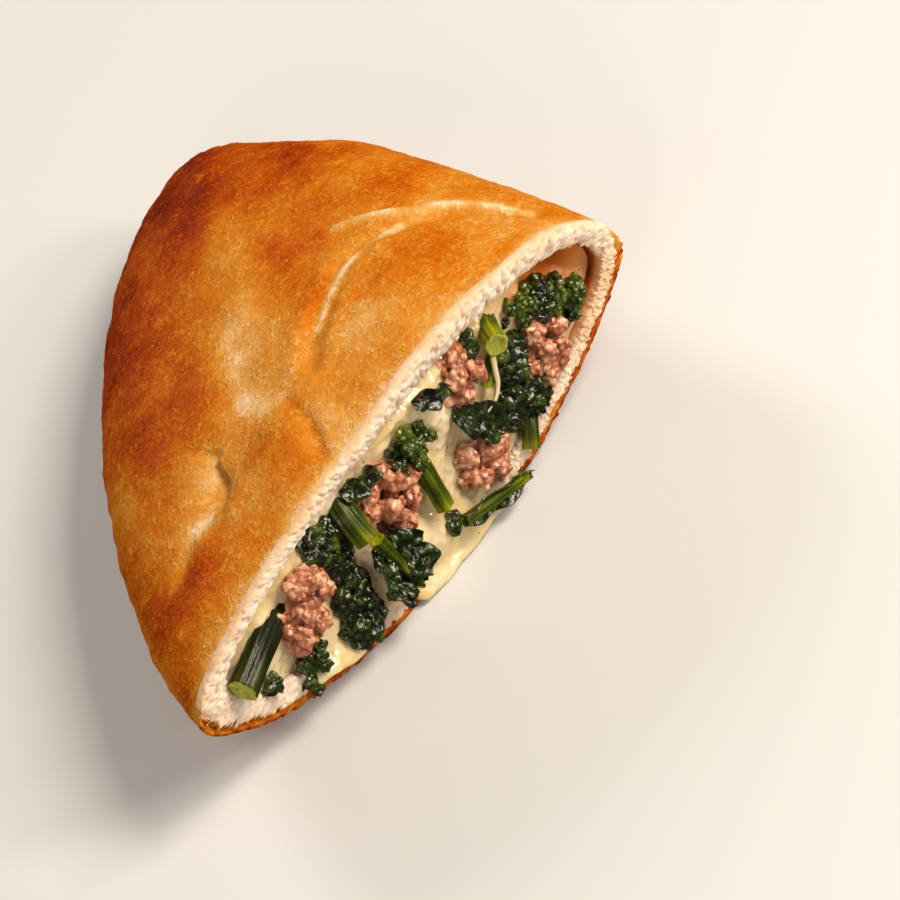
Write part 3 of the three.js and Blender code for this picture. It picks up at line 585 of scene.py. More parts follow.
def build_crumb(finish):
    """Crumb at the cut: from under the skin over the face and into the pocket, beaded with grains.

    Across the band a parameter runs from 0 at the skin's edge to 1 at the pocket's wall. The face
    bulges by a half sine, and over the top it slopes inwards. Spherical beads 0.7 to 1.4 mm wide,
    smaller along the bottom, push it forwards, and towards the wall also to the pocket's middle.
    """
    phi = np.arange(CRUMB_ROUND) * TAU / CRUMB_ROUND
    top = smooth(np.sin(phi), -0.1, 0.3)[None]
    ragged = ripple(line_of(phi), 4, 21)[None]
    flakes = np.abs(ripple(line_of(phi), 1.9, 26))[None]
    edge_in = 1.2 - 1.25 * top + (0.45 - 0.3 * top) * ragged + 1.2 * (1 - top) * flakes
    tuck = crust_point(column(2.2, 1.1, 0.4) + 0.25 * top * ragged, phi,
                       inward=edge_in + column(0.9, 0.12, 0.05))
    across = np.linspace(0, 1, BAND_ROWS)[:, None]
    a = crust_point(column(0), phi, inward=edge_in)
    b = pocket_point(column(0), phi, inset=0.35 + 0.3 * ripple(line_of(phi), 5, 25))
    face = a * (1 - across[..., None]) + b * across[..., None]
    face[..., 1] = -0.15 - 0.45 * np.sin(math.pi * across ** 0.8) + 1.3 * top * across ** 2
    deep = np.concatenate([np.linspace(0.25, 5, 14), np.linspace(6, 16, 8)])[:, None]
    rings = np.concatenate([tuck, face, pocket_point(deep + 1.3 * top, phi, inset=0.35)])
    # Beads are longer across the band than along it, so they are measured on its middle line.
    rng = np.random.default_rng(RNG_SEED + 1)
    line = 0.5 * (a + b)[0][:, [0, 2]]
    wide = np.linalg.norm((b - a)[0], axis=1)
    share = np.linalg.norm(np.roll(line, -1, 0) - line, axis=1)
    across_mm = np.concatenate([column(-1.6, -0.8, -0.3) + 0 * wide, across * wide, wide + deep])
    on_line = np.broadcast_to(line, across_mm.shape + (2,))
    measured = np.concatenate([on_line, 0.62 * across_mm[..., None]], -1)
    at = rng.choice(CRUMB_ROUND, BEADS, p=share / share.sum())
    reach = rng.uniform(-0.1, 1.3, BEADS) * wide[at]
    size = rng.uniform(0.34, 0.72, BEADS) * (0.55 + 0.45 * top[0, at])
    centres = np.concatenate([line[at], 0.62 * reach[:, None]], -1)
    height = grain(measured.reshape(-1, 3), centres, size).reshape(rings.shape[:2])
    beaded = 1 + 0.25 * smooth(across, 0.5, 0.9) - 0.3 * top * smooth(across, 0.25, 0.0)
    weight = np.concatenate([column(0, 0.15, 0.5) * beaded[:1], beaded, smooth(deep, 6, 2) + 0 * top])
    push = (1.15 * height - 0.25) * weight + 0.1 * ripple(rings, 2.6, 22) * weight
    middle = np.array([67.0, 0, 25.0])
    inwards = (middle - rings) * [1, 0, 1]
    inwards /= np.linalg.norm(inwards, axis=-1)[..., None]
    lean = np.concatenate([column(0, 0, 0), smooth(across, 0.55, 1.0) * 0.75, np.ones_like(deep)])[..., None]
    direction = inwards * lean + np.array([0, -1.0, 0]) * (1 - lean)
    direction /= np.linalg.norm(direction, axis=-1)[..., None]
    rings = rings + direction * push[..., None]
    rings[..., 2] = np.maximum(rings[..., 2], 0.15)
    # Toasted at the skin's edge, less over the top; browner deep in the pocket, most on the fold side, from
    # oil and painted shade.
    band = np.concatenate([column(0, 0, 0), across, np.ones_like(deep)])
    into = np.concatenate([np.zeros((TUCK_ROWS + BAND_ROWS, 1)), deep])
    fold_side = smooth(b[0, :, 0], 95, 118)
    toast = smooth(band, 0.2, 0.0) * (1 - 0.85 * top) + 0.34 * fold_side * (1 - top)
    toast = toast + 0.45 * smooth(into, 0.5, 7) + 0.5 * fold_side * smooth(into, 0.2, 3)
    toast = toast + 0.22 * top * smooth(band, 0.5, 0.0) * (0.8 + 0.4 * ripple(rings, 5, 24))
    # The band's two hidden edges meet in a ring inside the wall, so the piece is closed.
    hidden = crust_point(column(7), phi, inward=1.2) + pocket_point(column(9), phi, inset=-1.0)
    rings = np.concatenate([rings, 0.5 * hidden])
    toast = np.concatenate([np.clip(toast, 0, 1), np.zeros((1, CRUMB_ROUND))])
    quads = grid_faces(len(rings), CRUMB_ROUND, True, ring=True)
    points = rings.reshape(-1, 3)
    return turn_out(make_piece("crumb_rim", points, quads, attributes={"toast": toast}, finish=finish))


# ---- where the filling lies ----
# Place, half-sizes, turn and seed of each rounded part of the filling, as in the part's source.
SAUSAGES = [((104, 1.2, 20.2), (5.9, 4.6, 7.4), 0.45, 1), ((82.4, 1.4, 34), (5.8, 4.6, 6.6), 0.6, 2),
            ((80.8, 1.2, 13), (7.4, 4.8, 6.6), 0.8, 3), ((56.9, 1.2, 26.2), (8.8, 5, 7), 1.4, 4),
            ((31, 1.2, 25), (6.3, 4.8, 8.8), 0.5, 5)]
HEADS = [((65.4, 0.3, 31.6), (6.6, 4.5, 6.1), 0.8, 11), ((102.6, 3.2, 32.6), (5.6, 4.4, 5.4), 0.8, 12),
         ((113.6, 2.2, 24.4), (6.2, 4.6, 6.2), 0.8, 13), ((26.6, -0.2, 12.5), (4.4, 3.4, 6.6), 0.45, 14)]
# Curled leaves between the heads of the large floret.
HEAD_CURL = ((108.4, 3.6, 28.6), (4.6, 3.8, 4.8), 0.8, 15)
BUNCHES_OF = [[((95.6, 2.2, 25.4), (4.4, 3.8, 6), 0.3, 21), ((98, 1.2, 15), (4.6, 3.8, 5), 0.4, 22),
               ((92.6, 1.4, 17.4), (4.4, 3.8, 6), 0.2, 23)],
              [((41, 0.4, 9.8), (6, 3.6, 5.2), 0.6, 24), ((41.4, 1.6, 17), (4.4, 3.6, 5.2), 0.4, 25)],
              [((40, 3, 30.6), (5.2, 3.8, 5.6), 0.6, 26), ((41.8, 3, 24), (4.2, 3.4, 5.4), 0.4, 27)]]


# ---- cheese ----
# Runs of cheese that stand forward: x, z, width, reach. The corner of the pocket without any: x, z.
CHEESE_BULGES = [(74, 33, 10, 2.4), (57, 12, 9, 3.6), (44, 8, 9, 2.2), (32, 9, 7, 2.6),
                 (20, 19, 7, 2.2), (71, 6, 10, 3.2), (90, 30, 6, 1.6), (99, 8, 6, 1.4)]
CORNER = (118, 34)


def sink_round(x, z, at, half, turn):
    """1 within 0.75 of an ellipse turned in the cut's plane, falling to 0 at 1.8 times its size."""
    dx, dz = x - at[0], z - at[2]
    across = (dx * math.cos(turn) - dz * math.sin(turn)) / half[0]
    along = (dx * math.sin(turn) + dz * math.cos(turn)) / half[2]
    return smooth(np.hypot(across, along), 1.8, 0.75)


def cheese_front(x, z):
    """Depth of the cheese's face: two slow sines, and a bell forward for each run.

    Round each piece of filling it sinks towards 2.5 mm, least where a run is full, and a broad
    bell takes it back from the pocket's empty corner.
    """
    y = 1.9 + 0.5 * np.sin(0.31 * x + 0.4 * z) + 0.4 * np.sin(0.47 * x - 0.23 * z + 2)
    full = 0 * x
    for run_x, run_z, width, out in CHEESE_BULGES:
        y = y - out * bell(np.hypot(x - run_x, z - run_z), width)
        full = np.maximum(full, bell(np.hypot(x - run_x, z - run_z), 0.7 * width))
    level = 1 + 0 * x
    for at, half, turn, _ in SAUSAGES + HEADS + [part for parts in BUNCHES_OF for part in parts]:
        level = level * (1 - sink_round(x, z, at, half, turn))
    y = y + (2.5 - y) * 0.55 * (1 - level) * (1 - 0.75 * full)
    return y + 11 * bell(np.hypot(x - CORNER[0], z - CORNER[1]), 8.5)


def soft_front(x, z):
    """The cheese's face with its edges run smooth: the mean of the depth here and 1.8 mm to six sides."""
    ways = np.arange(6) * TAU / 6
    around = [cheese_front(x + 1.8 * math.cos(way), z + 1.8 * math.sin(way)) for way in ways]
    return (cheese_front(x, z) + sum(around)) / 7


def build_cheese(finish):
    """Cheese: a front face on rings growing to the pocket's wall, runs over the bottom rim, a body behind.

    Where a run hangs over the rim, the face reaches past the wall and rolls back to the rim's face
    at its edge. Even noise swells its surface.
    """
    phi = np.arange(CHEESE_ROUND) * TAU / CHEESE_ROUND
    rho = np.linspace(0.01, 1, CHEESE_RINGS)[:, None]
    wall = pocket_point(column(0), phi, inset=0.3)
    outer = crust_point(column(0), phi, inward=0.5)
    x = wall[0, :, 0]
    below = smooth(-np.sin(phi), 0.1, 0.4)
    run = below * (smooth(x, 52, 58) * smooth(x, 87, 80) + 0.8 * smooth(x, 25, 30) * smooth(x, 45, 40))
    run = run * (0.92 + 0.08 * np.sin(0.5 * x + 1) * np.sin(0.23 * x))
    centre = np.array([67.0, 0, 24.0])
    edge = wall + (outer - wall) * run[None, :, None]
    face = centre + (edge - centre) * rho[..., None]
    plan = face[..., [0, 2]]
    swell = 0.35 * ripple(plan, 7, 31) + 0.14 * ripple(plan, 2.6, 32)
    y = soft_front(face[..., 0], face[..., 2]) + swell
    y = y + 1.8 * smooth(np.sin(phi), 0.05, 0.3) * smooth(rho, 0.8, 0.97)
    over = smooth(rho, 0.8, 0.96) * run
    y = y * (1 - over) + np.minimum(y, -2.6 + 0.25 * swell) * over
    roll = smooth(rho, 0.975, 1.0) ** 2 * run
    y = y * (1 - roll) - 0.9 * roll
    face[..., 1] = y
    first = np.where(run > 0.02, 0.4, np.maximum(0.2, y[-1] + 0.3))
    steps = np.linspace(0, 1, WALL_RINGS)[:, None]
    depth = first + (POCKET_DEPTH - 3 - first) * np.sin(math.pi / 2 * steps)
    start = face[0].mean(0)
    rings = np.concatenate([face, pocket_point(depth, phi, inset=0.3)])
    rings[..., 2] = np.maximum(rings[..., 2], TABLE_GAP)
    # Orange oil and painted shade in the pocket's empty corner.
    browned = bell(np.hypot(rings[..., 0] - CORNER[0], rings[..., 2] - CORNER[1] - 2), 13)
    attributes = {"browned": np.clip(1.6 * browned, 0, 1)}
    return wrapped_skin("cheese_melt", rings, start, pocket_end(2.6), attributes, finish)


# ---- crumbles, florets and bunches ----
def chance(i, seed):
    """A fixed number from 0 to 1 for counter i and seed: the fraction of a steep sine."""
    steep = np.sin(i * 12.9898 + seed * 78.233) * 43758.5453
    return steep - np.floor(steep)


def sphere_directions(levels):
    """Unit directions and triangles of an icosahedron split evenly."""
    work = bmesh.new()
    bmesh.ops.create_icosphere(work, subdivisions=levels, radius=1.0)
    directions = np.array([v.co for v in work.verts], float)
    faces = np.array([[v.index for v in f.verts] for f in work.faces])
    work.free()
    return directions / np.linalg.norm(directions, axis=1)[:, None], faces


def join_parts(name, parts, finish):
    """One piece of several (points, triangles, proud, tint) parts."""
    points, faces, proud, tint = zip(*parts)
    firsts = np.cumsum([0] + [len(part) for part in points[:-1]])
    faces = np.concatenate([part + first for part, first in zip(faces, firsts)])
    points = np.concatenate(points)
    points[:, 2] = np.maximum(points[:, 2], TABLE_GAP)
    attributes = {"proud": np.concatenate(proud), "tint": np.concatenate(tint)}
    return make_piece(name, points, [], faces, attributes, finish)


def meld(points, faces, voxel, rounds):
    """Union of overlapping closed shells in mm: voxels of the given size, then a light smoothing."""
    mesh = bpy.data.meshes.new("shells")
    mesh.from_pydata(points.tolist(), [], faces.tolist())
    shells = bpy.data.objects.new("shells", mesh)
    bpy.context.scene.collection.objects.link(shells)
    remesh = shells.modifiers.new("union", "REMESH")
    remesh.mode = "VOXEL"
    remesh.voxel_size = voxel
    soften = shells.modifiers.new("soften", "SMOOTH")
    soften.factor = 0.5
    soften.iterations = rounds
    made = bpy.data.meshes.new_from_object(shells.evaluated_get(bpy.context.evaluated_depsgraph_get()))
    count = len(made.vertices)
    co = np.empty(count * 3, np.float32)
    made.vertices.foreach_get("co", co)
    made.calc_loop_triangles()
    triangles = np.empty(len(made.loop_triangles) * 3, np.int32)
    made.loop_triangles.foreach_get("vertices", triangles)
    bpy.data.objects.remove(shells)
    bpy.data.meshes.remove(made)
    bpy.data.meshes.remove(mesh)
    return co.reshape(-1, 3).astype(float), triangles.reshape(-1, 3)


def crevices(points, centres, radii):
    """Per point: 0 in the crevice between two grains to 1 on a grain's top, and the grain's number."""
    stands, nearest = np.empty(len(points)), np.empty(len(points))
    for start in range(0, len(points), AT_ONCE):
        part = points[start:start + AT_ONCE]
        q = np.linalg.norm(part[:, None] - centres[None], axis=-1) / radii[None]
        nearest[start:start + AT_ONCE] = q.argmin(1)
        low = np.partition(q, 1, axis=1)[:, :2]
        stands[start:start + AT_ONCE] = (low[:, 1] - low[:, 0]) / 0.45
    return np.clip(stands, 0, 1), nearest


def even_directions(count, seed, jitter):
    """Directions spread evenly by the golden angle, each moved by jitter at random."""
    k = np.arange(count)
    z = 1 - 2 * (k + 0.5) / count
    turn = k * GOLDEN_ANGLE + seed
    flat = np.sqrt(1 - z * z)
    way = np.stack([flat * np.cos(turn), flat * np.sin(turn), z], -1)
    way = way + np.random.default_rng(seed).normal(0, jitter, way.shape)
    return way / np.linalg.norm(way, axis=1)[:, None]


def shells_of(centres, radii, levels, seed, dent, stretch, way=None):
    """Points and triangles of a ball at each centre, drawn out one way and dented by even noise.

    Along its own direction d, random if not given, a ball's radius is r(1 + stretch((b.d)^2 - 1/3)).
    """
    ball, ball_faces = sphere_directions(levels)
    if way is None:
        way = np.random.default_rng(seed).normal(size=centres.shape)
    way = way / np.linalg.norm(way, axis=1)[:, None]
    reach = radii[:, None] * (1 + stretch * ((way @ ball.T) ** 2 - 1 / 3))
    points = centres[:, None] + ball[None] * reach[..., None]
    points = points + ball[None] * (radii[:, None] * dent * ripple(points, 1.8, seed))[..., None]
    faces = ball_faces[None] + (np.arange(len(centres)) * len(ball))[:, None, None]
    return points.reshape(-1, 3), faces.reshape(-1, 3)


def place_clump(points, at, turn):
    """Points turned about the axis out of the cut and moved to their place."""
    x, y, z = points.T
    c, s = math.cos(turn), math.sin(turn)
    return np.stack([x * c + z * s, y, z * c - x * s], -1) + np.array(at)


def lobed(half, seed, lobe_size, grain_size, grains, inset, jitters):
    """Lobes in an ellipsoid with grains over each: the lobes' middles and radii, and the grains'."""
    rng = np.random.default_rng(seed)
    lobe = rng.uniform(*lobe_size, LOBES) * min(half)
    inside = np.array(half) - inset[0] * lobe[:, None] - inset[1]
    middles = even_directions(LOBES, seed, jitters[0]) * inside
    size = rng.uniform(*grain_size, (LOBES, grains))
    over = even_directions(grains, seed + 1, jitters[1])[None] * (lobe[:, None] - 0.45 * size)[..., None]
    return middles, lobe, (middles[:, None] + over).reshape(-1, 3), size.reshape(-1)


def crumble(at, half, turn, seed):
    """A sausage crumble: lobes 3 to 5 mm wide, each a melded lump of grains 0.8 to 2.2 mm wide."""
    middles, lobe, spots, size = lobed(half, seed, lobe_size=(0.32, 0.5), grain_size=(0.4, 1.1),
                                       grains=20, inset=(0.8, 0), jitters=(0.16, 0.2))
    centres = np.concatenate([spots, middles, [[0, 0, 0]]])
    radii = np.concatenate([size, 0.96 * lobe, [0.62 * min(half)]])
    shells = shells_of(centres, radii, 3, seed, dent=0.26, stretch=0.8)
    points, triangles = meld(*shells, voxel=0.22, rounds=3)
    stands, number = crevices(points, spots, size)
    gap = np.sort(np.linalg.norm(points[:, None] - middles[None], axis=-1) / lobe[None], axis=1)
    # Painted shade: darker between the lobes as well as between the grains.
    stands = stands * (0.35 + 0.65 * np.clip((gap[:, 1] - gap[:, 0]) / 0.5, 0, 1))
    points = points + 0.08 * ripple(points, 1.1, seed + 9)[:, None]
    return place_clump(points, at, turn), triangles, stands, chance(number, seed + 1)


def bud_head(at, half, turn, seed):
    """A floret head: lobes of melded buds 0.8 to 1.4 mm wide, on pale stalks that show between them."""
    middles, lobe, spots, size = lobed(half, seed, lobe_size=(0.28, 0.43), grain_size=(0.42, 0.72),
                                       grains=10, inset=(1, 0.1), jitters=(0.14, 0.12))
    stalks = (middles[:, None] * np.linspace(0.3, 0.9, 6)[None, :, None]).reshape(-1, 3)
    centres = np.concatenate([spots, middles, stalks, [[0, 0, 0]]])
    radii = np.concatenate([size, 0.92 * lobe, np.full(len(stalks), 0.55), [0.5 * min(half)]])
    shells = shells_of(centres, radii, 2, seed, dent=0.06, stretch=0.3)
    points, triangles = meld(*shells, voxel=0.2, rounds=1)
    stands, _ = crevices(points, spots, size)
    to_lobe = np.linalg.norm(points[:, None] - middles[None], axis=-1) / lobe[None]
    pale = 0.6 * smooth(to_lobe.min(1), 1.2, 1.5)
    tint = 0.6 * chance(to_lobe.argmin(1), seed + 2) * (1 - pale) + pale
    # Painted shade: darker in the crevices between buds; the stalks are paler in their own right.
    return place_clump(points, at, turn), triangles, stands * (1 - pale) + 0.7 * pale, tint


def curled_bunch(at, half, turn, seed, folds=76, least=0.85, most=1.9):
    """A curled bunch: thin leaf folds as discs, facing out or edge-on, melded over a core.

    least and most are the discs' radii; half of the discs lie edge-on, at random.
    """
    rng = np.random.default_rng(seed)
    way = even_directions(folds, seed, 0.18)
    radius = rng.uniform(least, most, folds)
    spots = way * (np.array(half) - rng.uniform(0.6, 1.15, folds)[:, None] * radius[:, None])
    edge_on = np.cross(way, rng.normal(size=way.shape))
    facing = way + 0.6 * rng.normal(size=way.shape)
    thin = np.where(rng.uniform(size=folds)[:, None] < 0.5, edge_on, facing)
    core = even_directions(9, seed, 0.1) * np.array(half) * 0.38
    centres = np.concatenate([spots, core])
    radii = np.concatenate([radius, np.full(len(core), 0.44 * min(half))])
    ways = np.concatenate([thin, core])
    shells = shells_of(centres, radii, 3, seed, dent=0.24, stretch=-1.18, way=ways)
    points, triangles = meld(*shells, voxel=0.19, rounds=1)
    stands, number = crevices(points, spots, radius)
    # Painted shade: darker in the crevices and towards the bunch's core.
    stands = stands * smooth(np.linalg.norm(points / np.array(half), axis=1), 0.6, 1.0)
    return place_clump(points, at, turn), triangles, stands, chance(number, seed + 1)


# ---- stems ----
STALK_ROWS, STALK_SIDES = 64, 72
STALK_OVAL = 0.86  # thickness over width
# A cut end's rings: share of the stalk's size, and mm past the stalk's last ring.
END_RINGS = [(0.93, 0.14), (0.75, 0.02), (0.5, -0.3), (0.25, -0.42)]
END_DISH = 0.44


def smooth_path(points, count):
    """Points along a centripetal Catmull-Rom curve through the given ones."""
    p = np.array(points, float)
    p = np.concatenate([[2 * p[0] - p[1]], p, [2 * p[-1] - p[-2]]])
    spans = len(p) - 3
    t = np.linspace(0, spans, count)
    i = np.minimum(t.astype(int), spans - 1)
    w = (t - i)[:, None]
    a, b, c, d = (p[i + n] for n in range(4))
    d0, d1, d2 = (np.linalg.norm(v, axis=1)[:, None] ** 0.5 for v in (b - a, c - b, d - c))
    t1 = ((b - a) / d0 - (c - a) / (d0 + d1) + (c - b) / d1) * d1
    t2 = ((c - b) / d1 - (d - b) / (d1 + d2) + (d - c) / d2) * d1
    return ((2 * w**3 - 3 * w**2 + 1) * b + (w**3 - 2 * w**2 + w) * t1
            + (3 * w**2 - 2 * w**3) * c + (w**3 - w**2) * t2)


def stem(name, path, radii, seed, finish, ribs=5, bright=0.0, pith=1.0):
    """A ribbed oval stalk carried along a path, with rounded edges and a dished face at each end.

    At angle a its radius is r(1 + 0.045 cos(ribs a)), plus fine lengthwise grooves and a slow wander.
    """
    centre = smooth_path(path, STALK_ROWS)
    along = np.gradient(centre, axis=0)
    along /= np.linalg.norm(along, axis=1)[:, None]
    side = np.cross([0, 1.0, 0], along)
    side /= np.linalg.norm(side, axis=1)[:, None]
    normal = np.cross(along, side)
    a = np.arange(STALK_SIDES) * TAU / STALK_SIDES
    groove = 0.03 * np.cos(13 * a + seed) + 0.015 * np.cos(29 * a + 2 * seed)
    wander = 0.04 * np.sin(np.linspace(0, 9, STALK_ROWS)[:, None] + 2 * a + seed)
    r = np.linspace(*radii, STALK_ROWS)[:, None] * (1 + 0.045 * np.cos(ribs * a) + groove + wander)
    rings = centre[:, None] + side[:, None] * (r * np.cos(a))[..., None]
    rings = rings + normal[:, None] * (r * STALK_OVAL * np.sin(a))[..., None]
    proud = 0.22 + bright + 0.09 * np.cos(ribs * a) + 1.6 * groove + 0 * r
    # Painted shade: darker towards the stalk's start, which lies in shade inside the pocket.
    proud = proud + 0.3 * smooth(np.linspace(0, 1, STALK_ROWS), 0.55, 1.0)[:, None]
    caps = [centre[row] + (rings[row] - centre[row]) * share + along[row] * sign * step
            for row, sign in ((0, -1), (-1, 1)) for share, step in END_RINGS]
    rings = np.concatenate([caps[3::-1], rings, caps[4:]])
    ends = np.full((len(END_RINGS), STALK_SIDES), 1.0)
    attributes = {"proud": np.concatenate([0.8 * ends, proud, 0.8 * ends]),
                  "cut": pith * np.concatenate([ends, 0 * proud, ends])}
    return wrapped_skin(name, rings, centre[0], centre[-1] - along[-1] * END_DISH, attributes, finish)


# ---- leaves ----
BLADE_ROWS, BLADE_COLUMNS, BLADE_THICK = 72, 48, 0.7


def leaf(start, stop, width, seed, curl=1.2, arch=0.8, blister=0.9):
    """A thin crumpled blade as (points, triangles, proud, tint): s along its midrib, t across it.

    Its half-width swells with s and its edge is scalloped. It rises by curl t^2, edge waves, an
    arch, and folded blisters between the veins. Both faces are the same grid, moved apart by the
    thickness and joined round the rim.
    """
    rows, cols = BLADE_ROWS, BLADE_COLUMNS
    s, t = np.meshgrid(np.linspace(0, 1, rows), np.linspace(-1, 1, cols), indexing="ij")
    side, off = np.sign(t), np.abs(t)
    small = min(1, width / 9)
    a, b = np.array(start, float), np.array(stop, float)
    length = np.linalg.norm(b - a)
    along = (b - a) / length
    across = np.cross(along, [0, -1.0, 0])
    across /= np.linalg.norm(across)
    front = np.cross(across, along)
    front = front if front[1] < 0 else -front
    swell = np.sin(math.pi * np.clip(0.12 + 0.8 * s, 0, 1)) ** 0.7
    edge = 1 + (0.26 * np.abs(np.sin(6.5 * s + seed + 0.8 * side)) - 0.14) * off
    wave = t * t * np.sin(13 * s + 2.5 * side + seed) + 0.1 * t ** 4 * np.sin(29 * s + seed)
    lift = curl * t * t + wave * small + arch * np.sin(math.pi * s)
    middle = a + along * (s * length)[..., None] + across * ((width / 2) * swell * edge * t)[..., None]
    vein = np.maximum(bell(t, 0.1), 0.7 * bell(np.mod(s * 5 + off * 1.4, 1) - 0.5, 0.1))
    fold = 1 - 2 * np.abs(ripple(middle, 4.2, seed + 70))
    puff = blister * small * ((1 - vein) * (0.4 + 0.6 * fold) + 0.4 * ripple(middle, 2.0, seed + 71))
    # Painted highlights on the crests of the folds; the midrib is paler in its own right.
    proud = np.clip(0.4 + 0.5 * vein * (off < 0.12) + 0.5 * fold, 0, 1)
    middle = middle + front * (lift + puff * (1 - 0.85 * t ** 4))[..., None]
    thin = np.sqrt(np.clip(1 - off ** 6, 0, 1)) * np.sqrt(np.clip(1 - np.abs(2 * s - 1) ** 8, 0, 1))
    half = front * (BLADE_THICK / 2 * (0.35 + 0.65 * thin))[..., None]
    points = np.concatenate([(middle + half).reshape(-1, 3), (middle - half).reshape(-1, 3)])
    back = rows * cols
    number = np.arange(back).reshape(rows, cols)
    rim = np.concatenate([number[:-1, 0], number[-1, :-1], number[:0:-1, -1], number[0, :0:-1]])
    step = np.roll(rim, -1)
    face = grid_faces(rows, cols, False)
    quads = np.concatenate([face, face[:, ::-1] + back, np.stack([rim, step, step + back, rim + back], -1)])
    triangles = np.concatenate([quads[:, [0, 1, 2]], quads[:, [0, 2, 3]]])
    return points, triangles, np.tile(proud.ravel(), 2), np.full(2 * back, chance(seed, 5))


# ---- the pieces ----
SKIN = make_material("baked_dough_skin", baked_skin)
CRUMB = make_material("bread_crumb", bread_crumb)
CHEESE = make_material("melted_cheese", melted_cheese)
SAUSAGE = make_material("cooked_sausage", cooked_sausage)
STEM = make_material("cooked_stem", cooked_stem)
LEAVES = make_material("cooked_leaf", cooked_greens, 2.5, 0.15, [
    (0.25, "#050b01"), (0.48, "#142601"), (0.7, "#304b04"), (0.95, "#768614")])
FLORETS = make_material("cooked_florets", cooked_greens, 3.5, 0.32, [
    (0.34, "#040b01"), (0.54, "#112202"), (0.72, "#2c4603"), (0.88, "#66790e"), (1.0, "#94a026")])
BUNCHES = make_material("cooked_bunch", cooked_greens, 2.0, 0.15, [
    (0.25, "#050a01"), (0.5, "#112001"), (0.72, "#2c4202"), (1.0, "#6d7c10")])


def settle_greens(name, node, finish, *parts):
    """Joins leaf or bud parts to one piece in the place of their node."""
    settle_in(join_parts(name, parts, finish), node)


settle_in(build_skin(SKIN), "crust")
settle_in(build_crumb(CRUMB), "crust")
settle_in(build_cheese(CHEESE), "cheese")

# A string of cheese drawn out between the stem and the leaf below it.
STRING = [(89.8, -1.6, 33.6), (88.9, -2.0, 30.6), (88.4, -2.1, 27.8), (86.6, -2.2, 25.4), (83.6, -1.8, 24)]
settle_in(stem("cheese_string", STRING, (0.62, 0.3), 9, CHEESE, ribs=2), "cheese")

for number, place in enumerate(SAUSAGES, 1):
    piece = join_parts(f"sausage_grains_{number}", [crumble(*place)], SAUSAGE)
    settle_in(piece, f"sausage_{number}")

# Stems: path, end radii, and how much brighter than the plain green; the third's darkening is partly painted
# shade.
STEMS = [([(98.2, 9, 35.1), (94.3, 3, 36), (90.7, -2.6, 36.2)], (2.7, 2.6), 0.14),
         ([(48.4, 8, 35.5), (46.8, 1, 33.4), (46.6, -3, 28)], (2.4, 2.5), 0.0),
         ([(32.8, 7, 25.6), (19.4, 1, 26.6), (9.8, -2, 25.8)], (3.1, 3), -0.34),
         ([(97.2, 2, 11.5), (94.4, 0, 9.5), (91.6, -1.5, 6.2)], (1.8, 1.8), 0.0),
         ([(92.1, 0.4, 32.6), (89.5, -0.5, 31), (86.9, -0.6, 27.9)], (1.4, 1.1), 0.12)]
for number, (path, radii, bright) in enumerate(STEMS, 1):
    piece = stem(f"stem_stalk_{number}", path, radii, number, STEM, bright=bright)
    settle_in(piece, f"rabe_stem_{number}")
curl = curled_bunch((86.6, 0.8, 37.6), (1.9, 1.8, 3.2), 0.5, 27, folds=26, least=0.7, most=1.3)
settle_greens("stem_leaf_1", "rabe_stem_1", LEAVES, curl)

# Florets: heads of buds, with a stalk or curled leaves where they show.
FLORET_STALK = [(66.6, 1, 27.6), (66.1, -1.4, 22.7), (66, -2.9, 16.9)]
settle_in(stem("floret_stalk", FLORET_STALK, (2, 1.9), 11, STEM, bright=0.08), "rabe_floret_1")
heads = [bud_head(*head) for head in HEADS]
settle_greens("floret_buds_1", "rabe_floret_1", FLORETS, heads[0])
settle_greens("floret_buds_2", "rabe_floret_2", FLORETS, heads[1], heads[2])
settle_greens("floret_buds_3", "rabe_floret_3", BUNCHES, heads[3])
settle_greens("floret_curl_2", "rabe_floret_2", BUNCHES, curled_bunch(*HEAD_CURL))
for number, parts in enumerate(BUNCHES_OF, 1):
    curls = [curled_bunch(*part) for part in parts]
    settle_greens(f"bunch_curls_{number}", f"rabe_bunch_{number}", BUNCHES, *curls)

# Leaves: from, to, width, seed and shape.
LEAF_BLADES = [((49.8, -1.2, 23.8), (53.4, -2.2, 6.6), 13, 1, dict(curl=2.6, blister=1.7)),
               ((77.6, -0.4, 30.2), (87.6, -0.8, 16.2), 7.5, 2, {}),
               ((68.9, -2.2, 9.6), (88, -2.8, 3.9), 4.8, 3, dict(arch=0.5)),
               ((69.6, 0.2, 40.6), (77.4, -0.8, 37.4), 4.6, 4, {}),
               ((47.9, 1.6, 37.4), (57.6, 1.6, 34.8), 5.6, 5, {})]
for start, stop, width, number, shape in LEAF_BLADES:
    blade = leaf(start, stop, width, number, **shape)
    settle_greens(f"leaf_blade_{number}", f"rabe_leaf_{number}", LEAVES, blade)
# Ribs: path and end radii.
RIBS = {1: ([(48.6, -2.9, 26), (50.4, -3.5, 20), (52.2, -3.6, 13.5)], (1.5, 0.5)),
        3: ([(69.6, -3.0, 9.2), (79, -3.6, 6.8), (86.5, -3.4, 4.4)], (1.3, 1.0))}
for number, (path, radii) in RIBS.items():
    piece = stem(f"leaf_rib_{number}", path, radii, 30 + number, STEM, bright=0.12, pith=0.0)
    settle_in(piece, f"rabe_leaf_{number}")
curl = curled_bunch((67.4, -1.8, 10.2), (2.1, 1.5, 2.4), 0.4, 29, folds=26, least=0.6, most=1.1)
settle_greens("leaf_curl_3", "rabe_leaf_3", LEAVES, curl)
curl = curled_bunch((16.9, -0.2, 18.4), (2.4, 1.8, 2.1), 0.4, 28, folds=26, least=0.6, most=1.1)
settle_greens("leaf_curl_6", "rabe_leaf_6", LEAVES, curl)


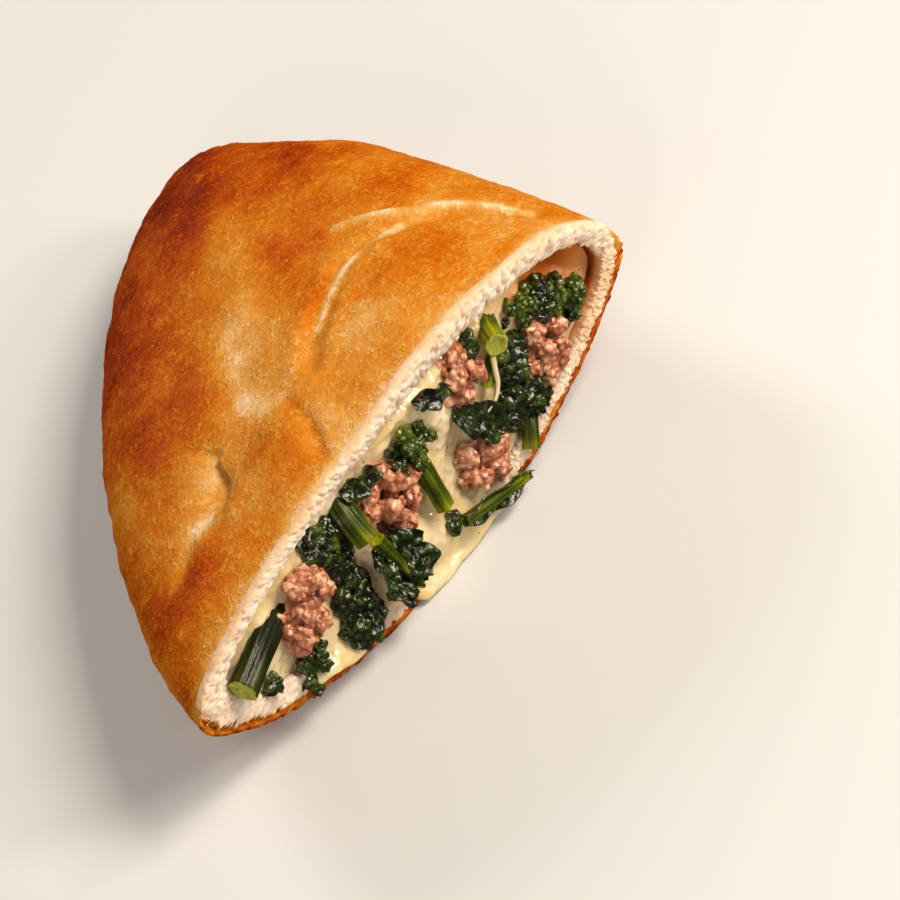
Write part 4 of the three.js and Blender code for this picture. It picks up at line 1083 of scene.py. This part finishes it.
# ---- floor, light, camera ----
FLOOR_HALF = 3.0    # metres
FLOOR_CORNERS = [(-FLOOR_HALF, -FLOOR_HALF, 0), (FLOOR_HALF, -FLOOR_HALF, 0),
                 (FLOOR_HALF, FLOOR_HALF, 0), (-FLOOR_HALF, FLOOR_HALF, 0)]


def build_floor():
    """A plain pale floor 6 m wide at z = 0, kept out of the wet filling's reflections."""
    mesh = bpy.data.meshes.new("pale_floor")
    mesh.from_pydata(FLOOR_CORNERS, [], [(0, 1, 2, 3)])
    mesh.materials.append(make_material("pale_studio_floor", studio_floor))
    floor = bpy.data.objects.new("pale_floor", mesh)
    bpy.context.scene.collection.objects.link(floor)
    floor.visible_glossy = False


def add_lamp(name, place, target, width, power, colour):
    """A square area lamp at place, aimed at target; metres and watts."""
    data = bpy.data.lights.new(name, "AREA")
    data.size = width
    data.energy = power
    data.color = linear(colour)[:3]
    lamp = bpy.data.objects.new(name, data)
    lamp.location = place
    lamp.rotation_euler = (Vector(target) - Vector(place)).to_track_quat("-Z", "Y").to_euler()
    bpy.context.scene.collection.objects.link(lamp)


BODY, CUT_FACE = (0, 0, 0.02), (0, -0.04, 0.02)  # where the lamps aim
LAMPS = [("key", (0.40, -0.42, 0.76), BODY, 0.36, 8.8, "#ffebd0"),
         ("back_fill", (0.10, 0.70, 0.50), BODY, 0.3, 3.5, "#fff3e2"),
         ("left_fill", (-0.70, -0.40, 0.45), BODY, 0.25, 2.0, "#ffebd0"),
         # Small lamps that draw crisp glints on the wet filling.
         ("glint_front", (0.31, -0.50, 0.39), CUT_FACE, 0.14, 1.6, "#ffefd8"),
         ("glint_low", (0.32, -0.62, 0.16), CUT_FACE, 0.05, 0.4, "#ffffff")]
build_floor()
for lamp in LAMPS:
    add_lamp(*lamp)

world = bpy.data.worlds.new("studio")
world.use_nodes = True
world.node_tree.nodes["Background"].inputs["Color"].default_value = linear("#f8e6c8")
world.node_tree.nodes["Background"].inputs["Strength"].default_value = 0.11
bpy.context.scene.world = world
bpy.context.scene.view_settings.view_transform = "Standard"

camera_data = bpy.data.cameras.new("camera")
camera_data.lens = 144.0
camera_data.sensor_width = 36.0
camera = bpy.data.objects.new("camera", camera_data)
CAMERA_PLACE = (-0.289854, -0.414458, 0.494659)
CAMERA_RIGHT, CAMERA_UP, CAMERA_BACK = (0.584, -0.775, -0.242), (0.682, 0.307, 0.664), (-0.441, -0.553, 0.707)
turn = Matrix((CAMERA_RIGHT, CAMERA_UP, CAMERA_BACK)).transposed().to_quaternion()
camera.matrix_world = Matrix.Translation(CAMERA_PLACE) @ turn.to_matrix().to_4x4()
bpy.context.scene.collection.objects.link(camera)
bpy.context.scene.camera = camera
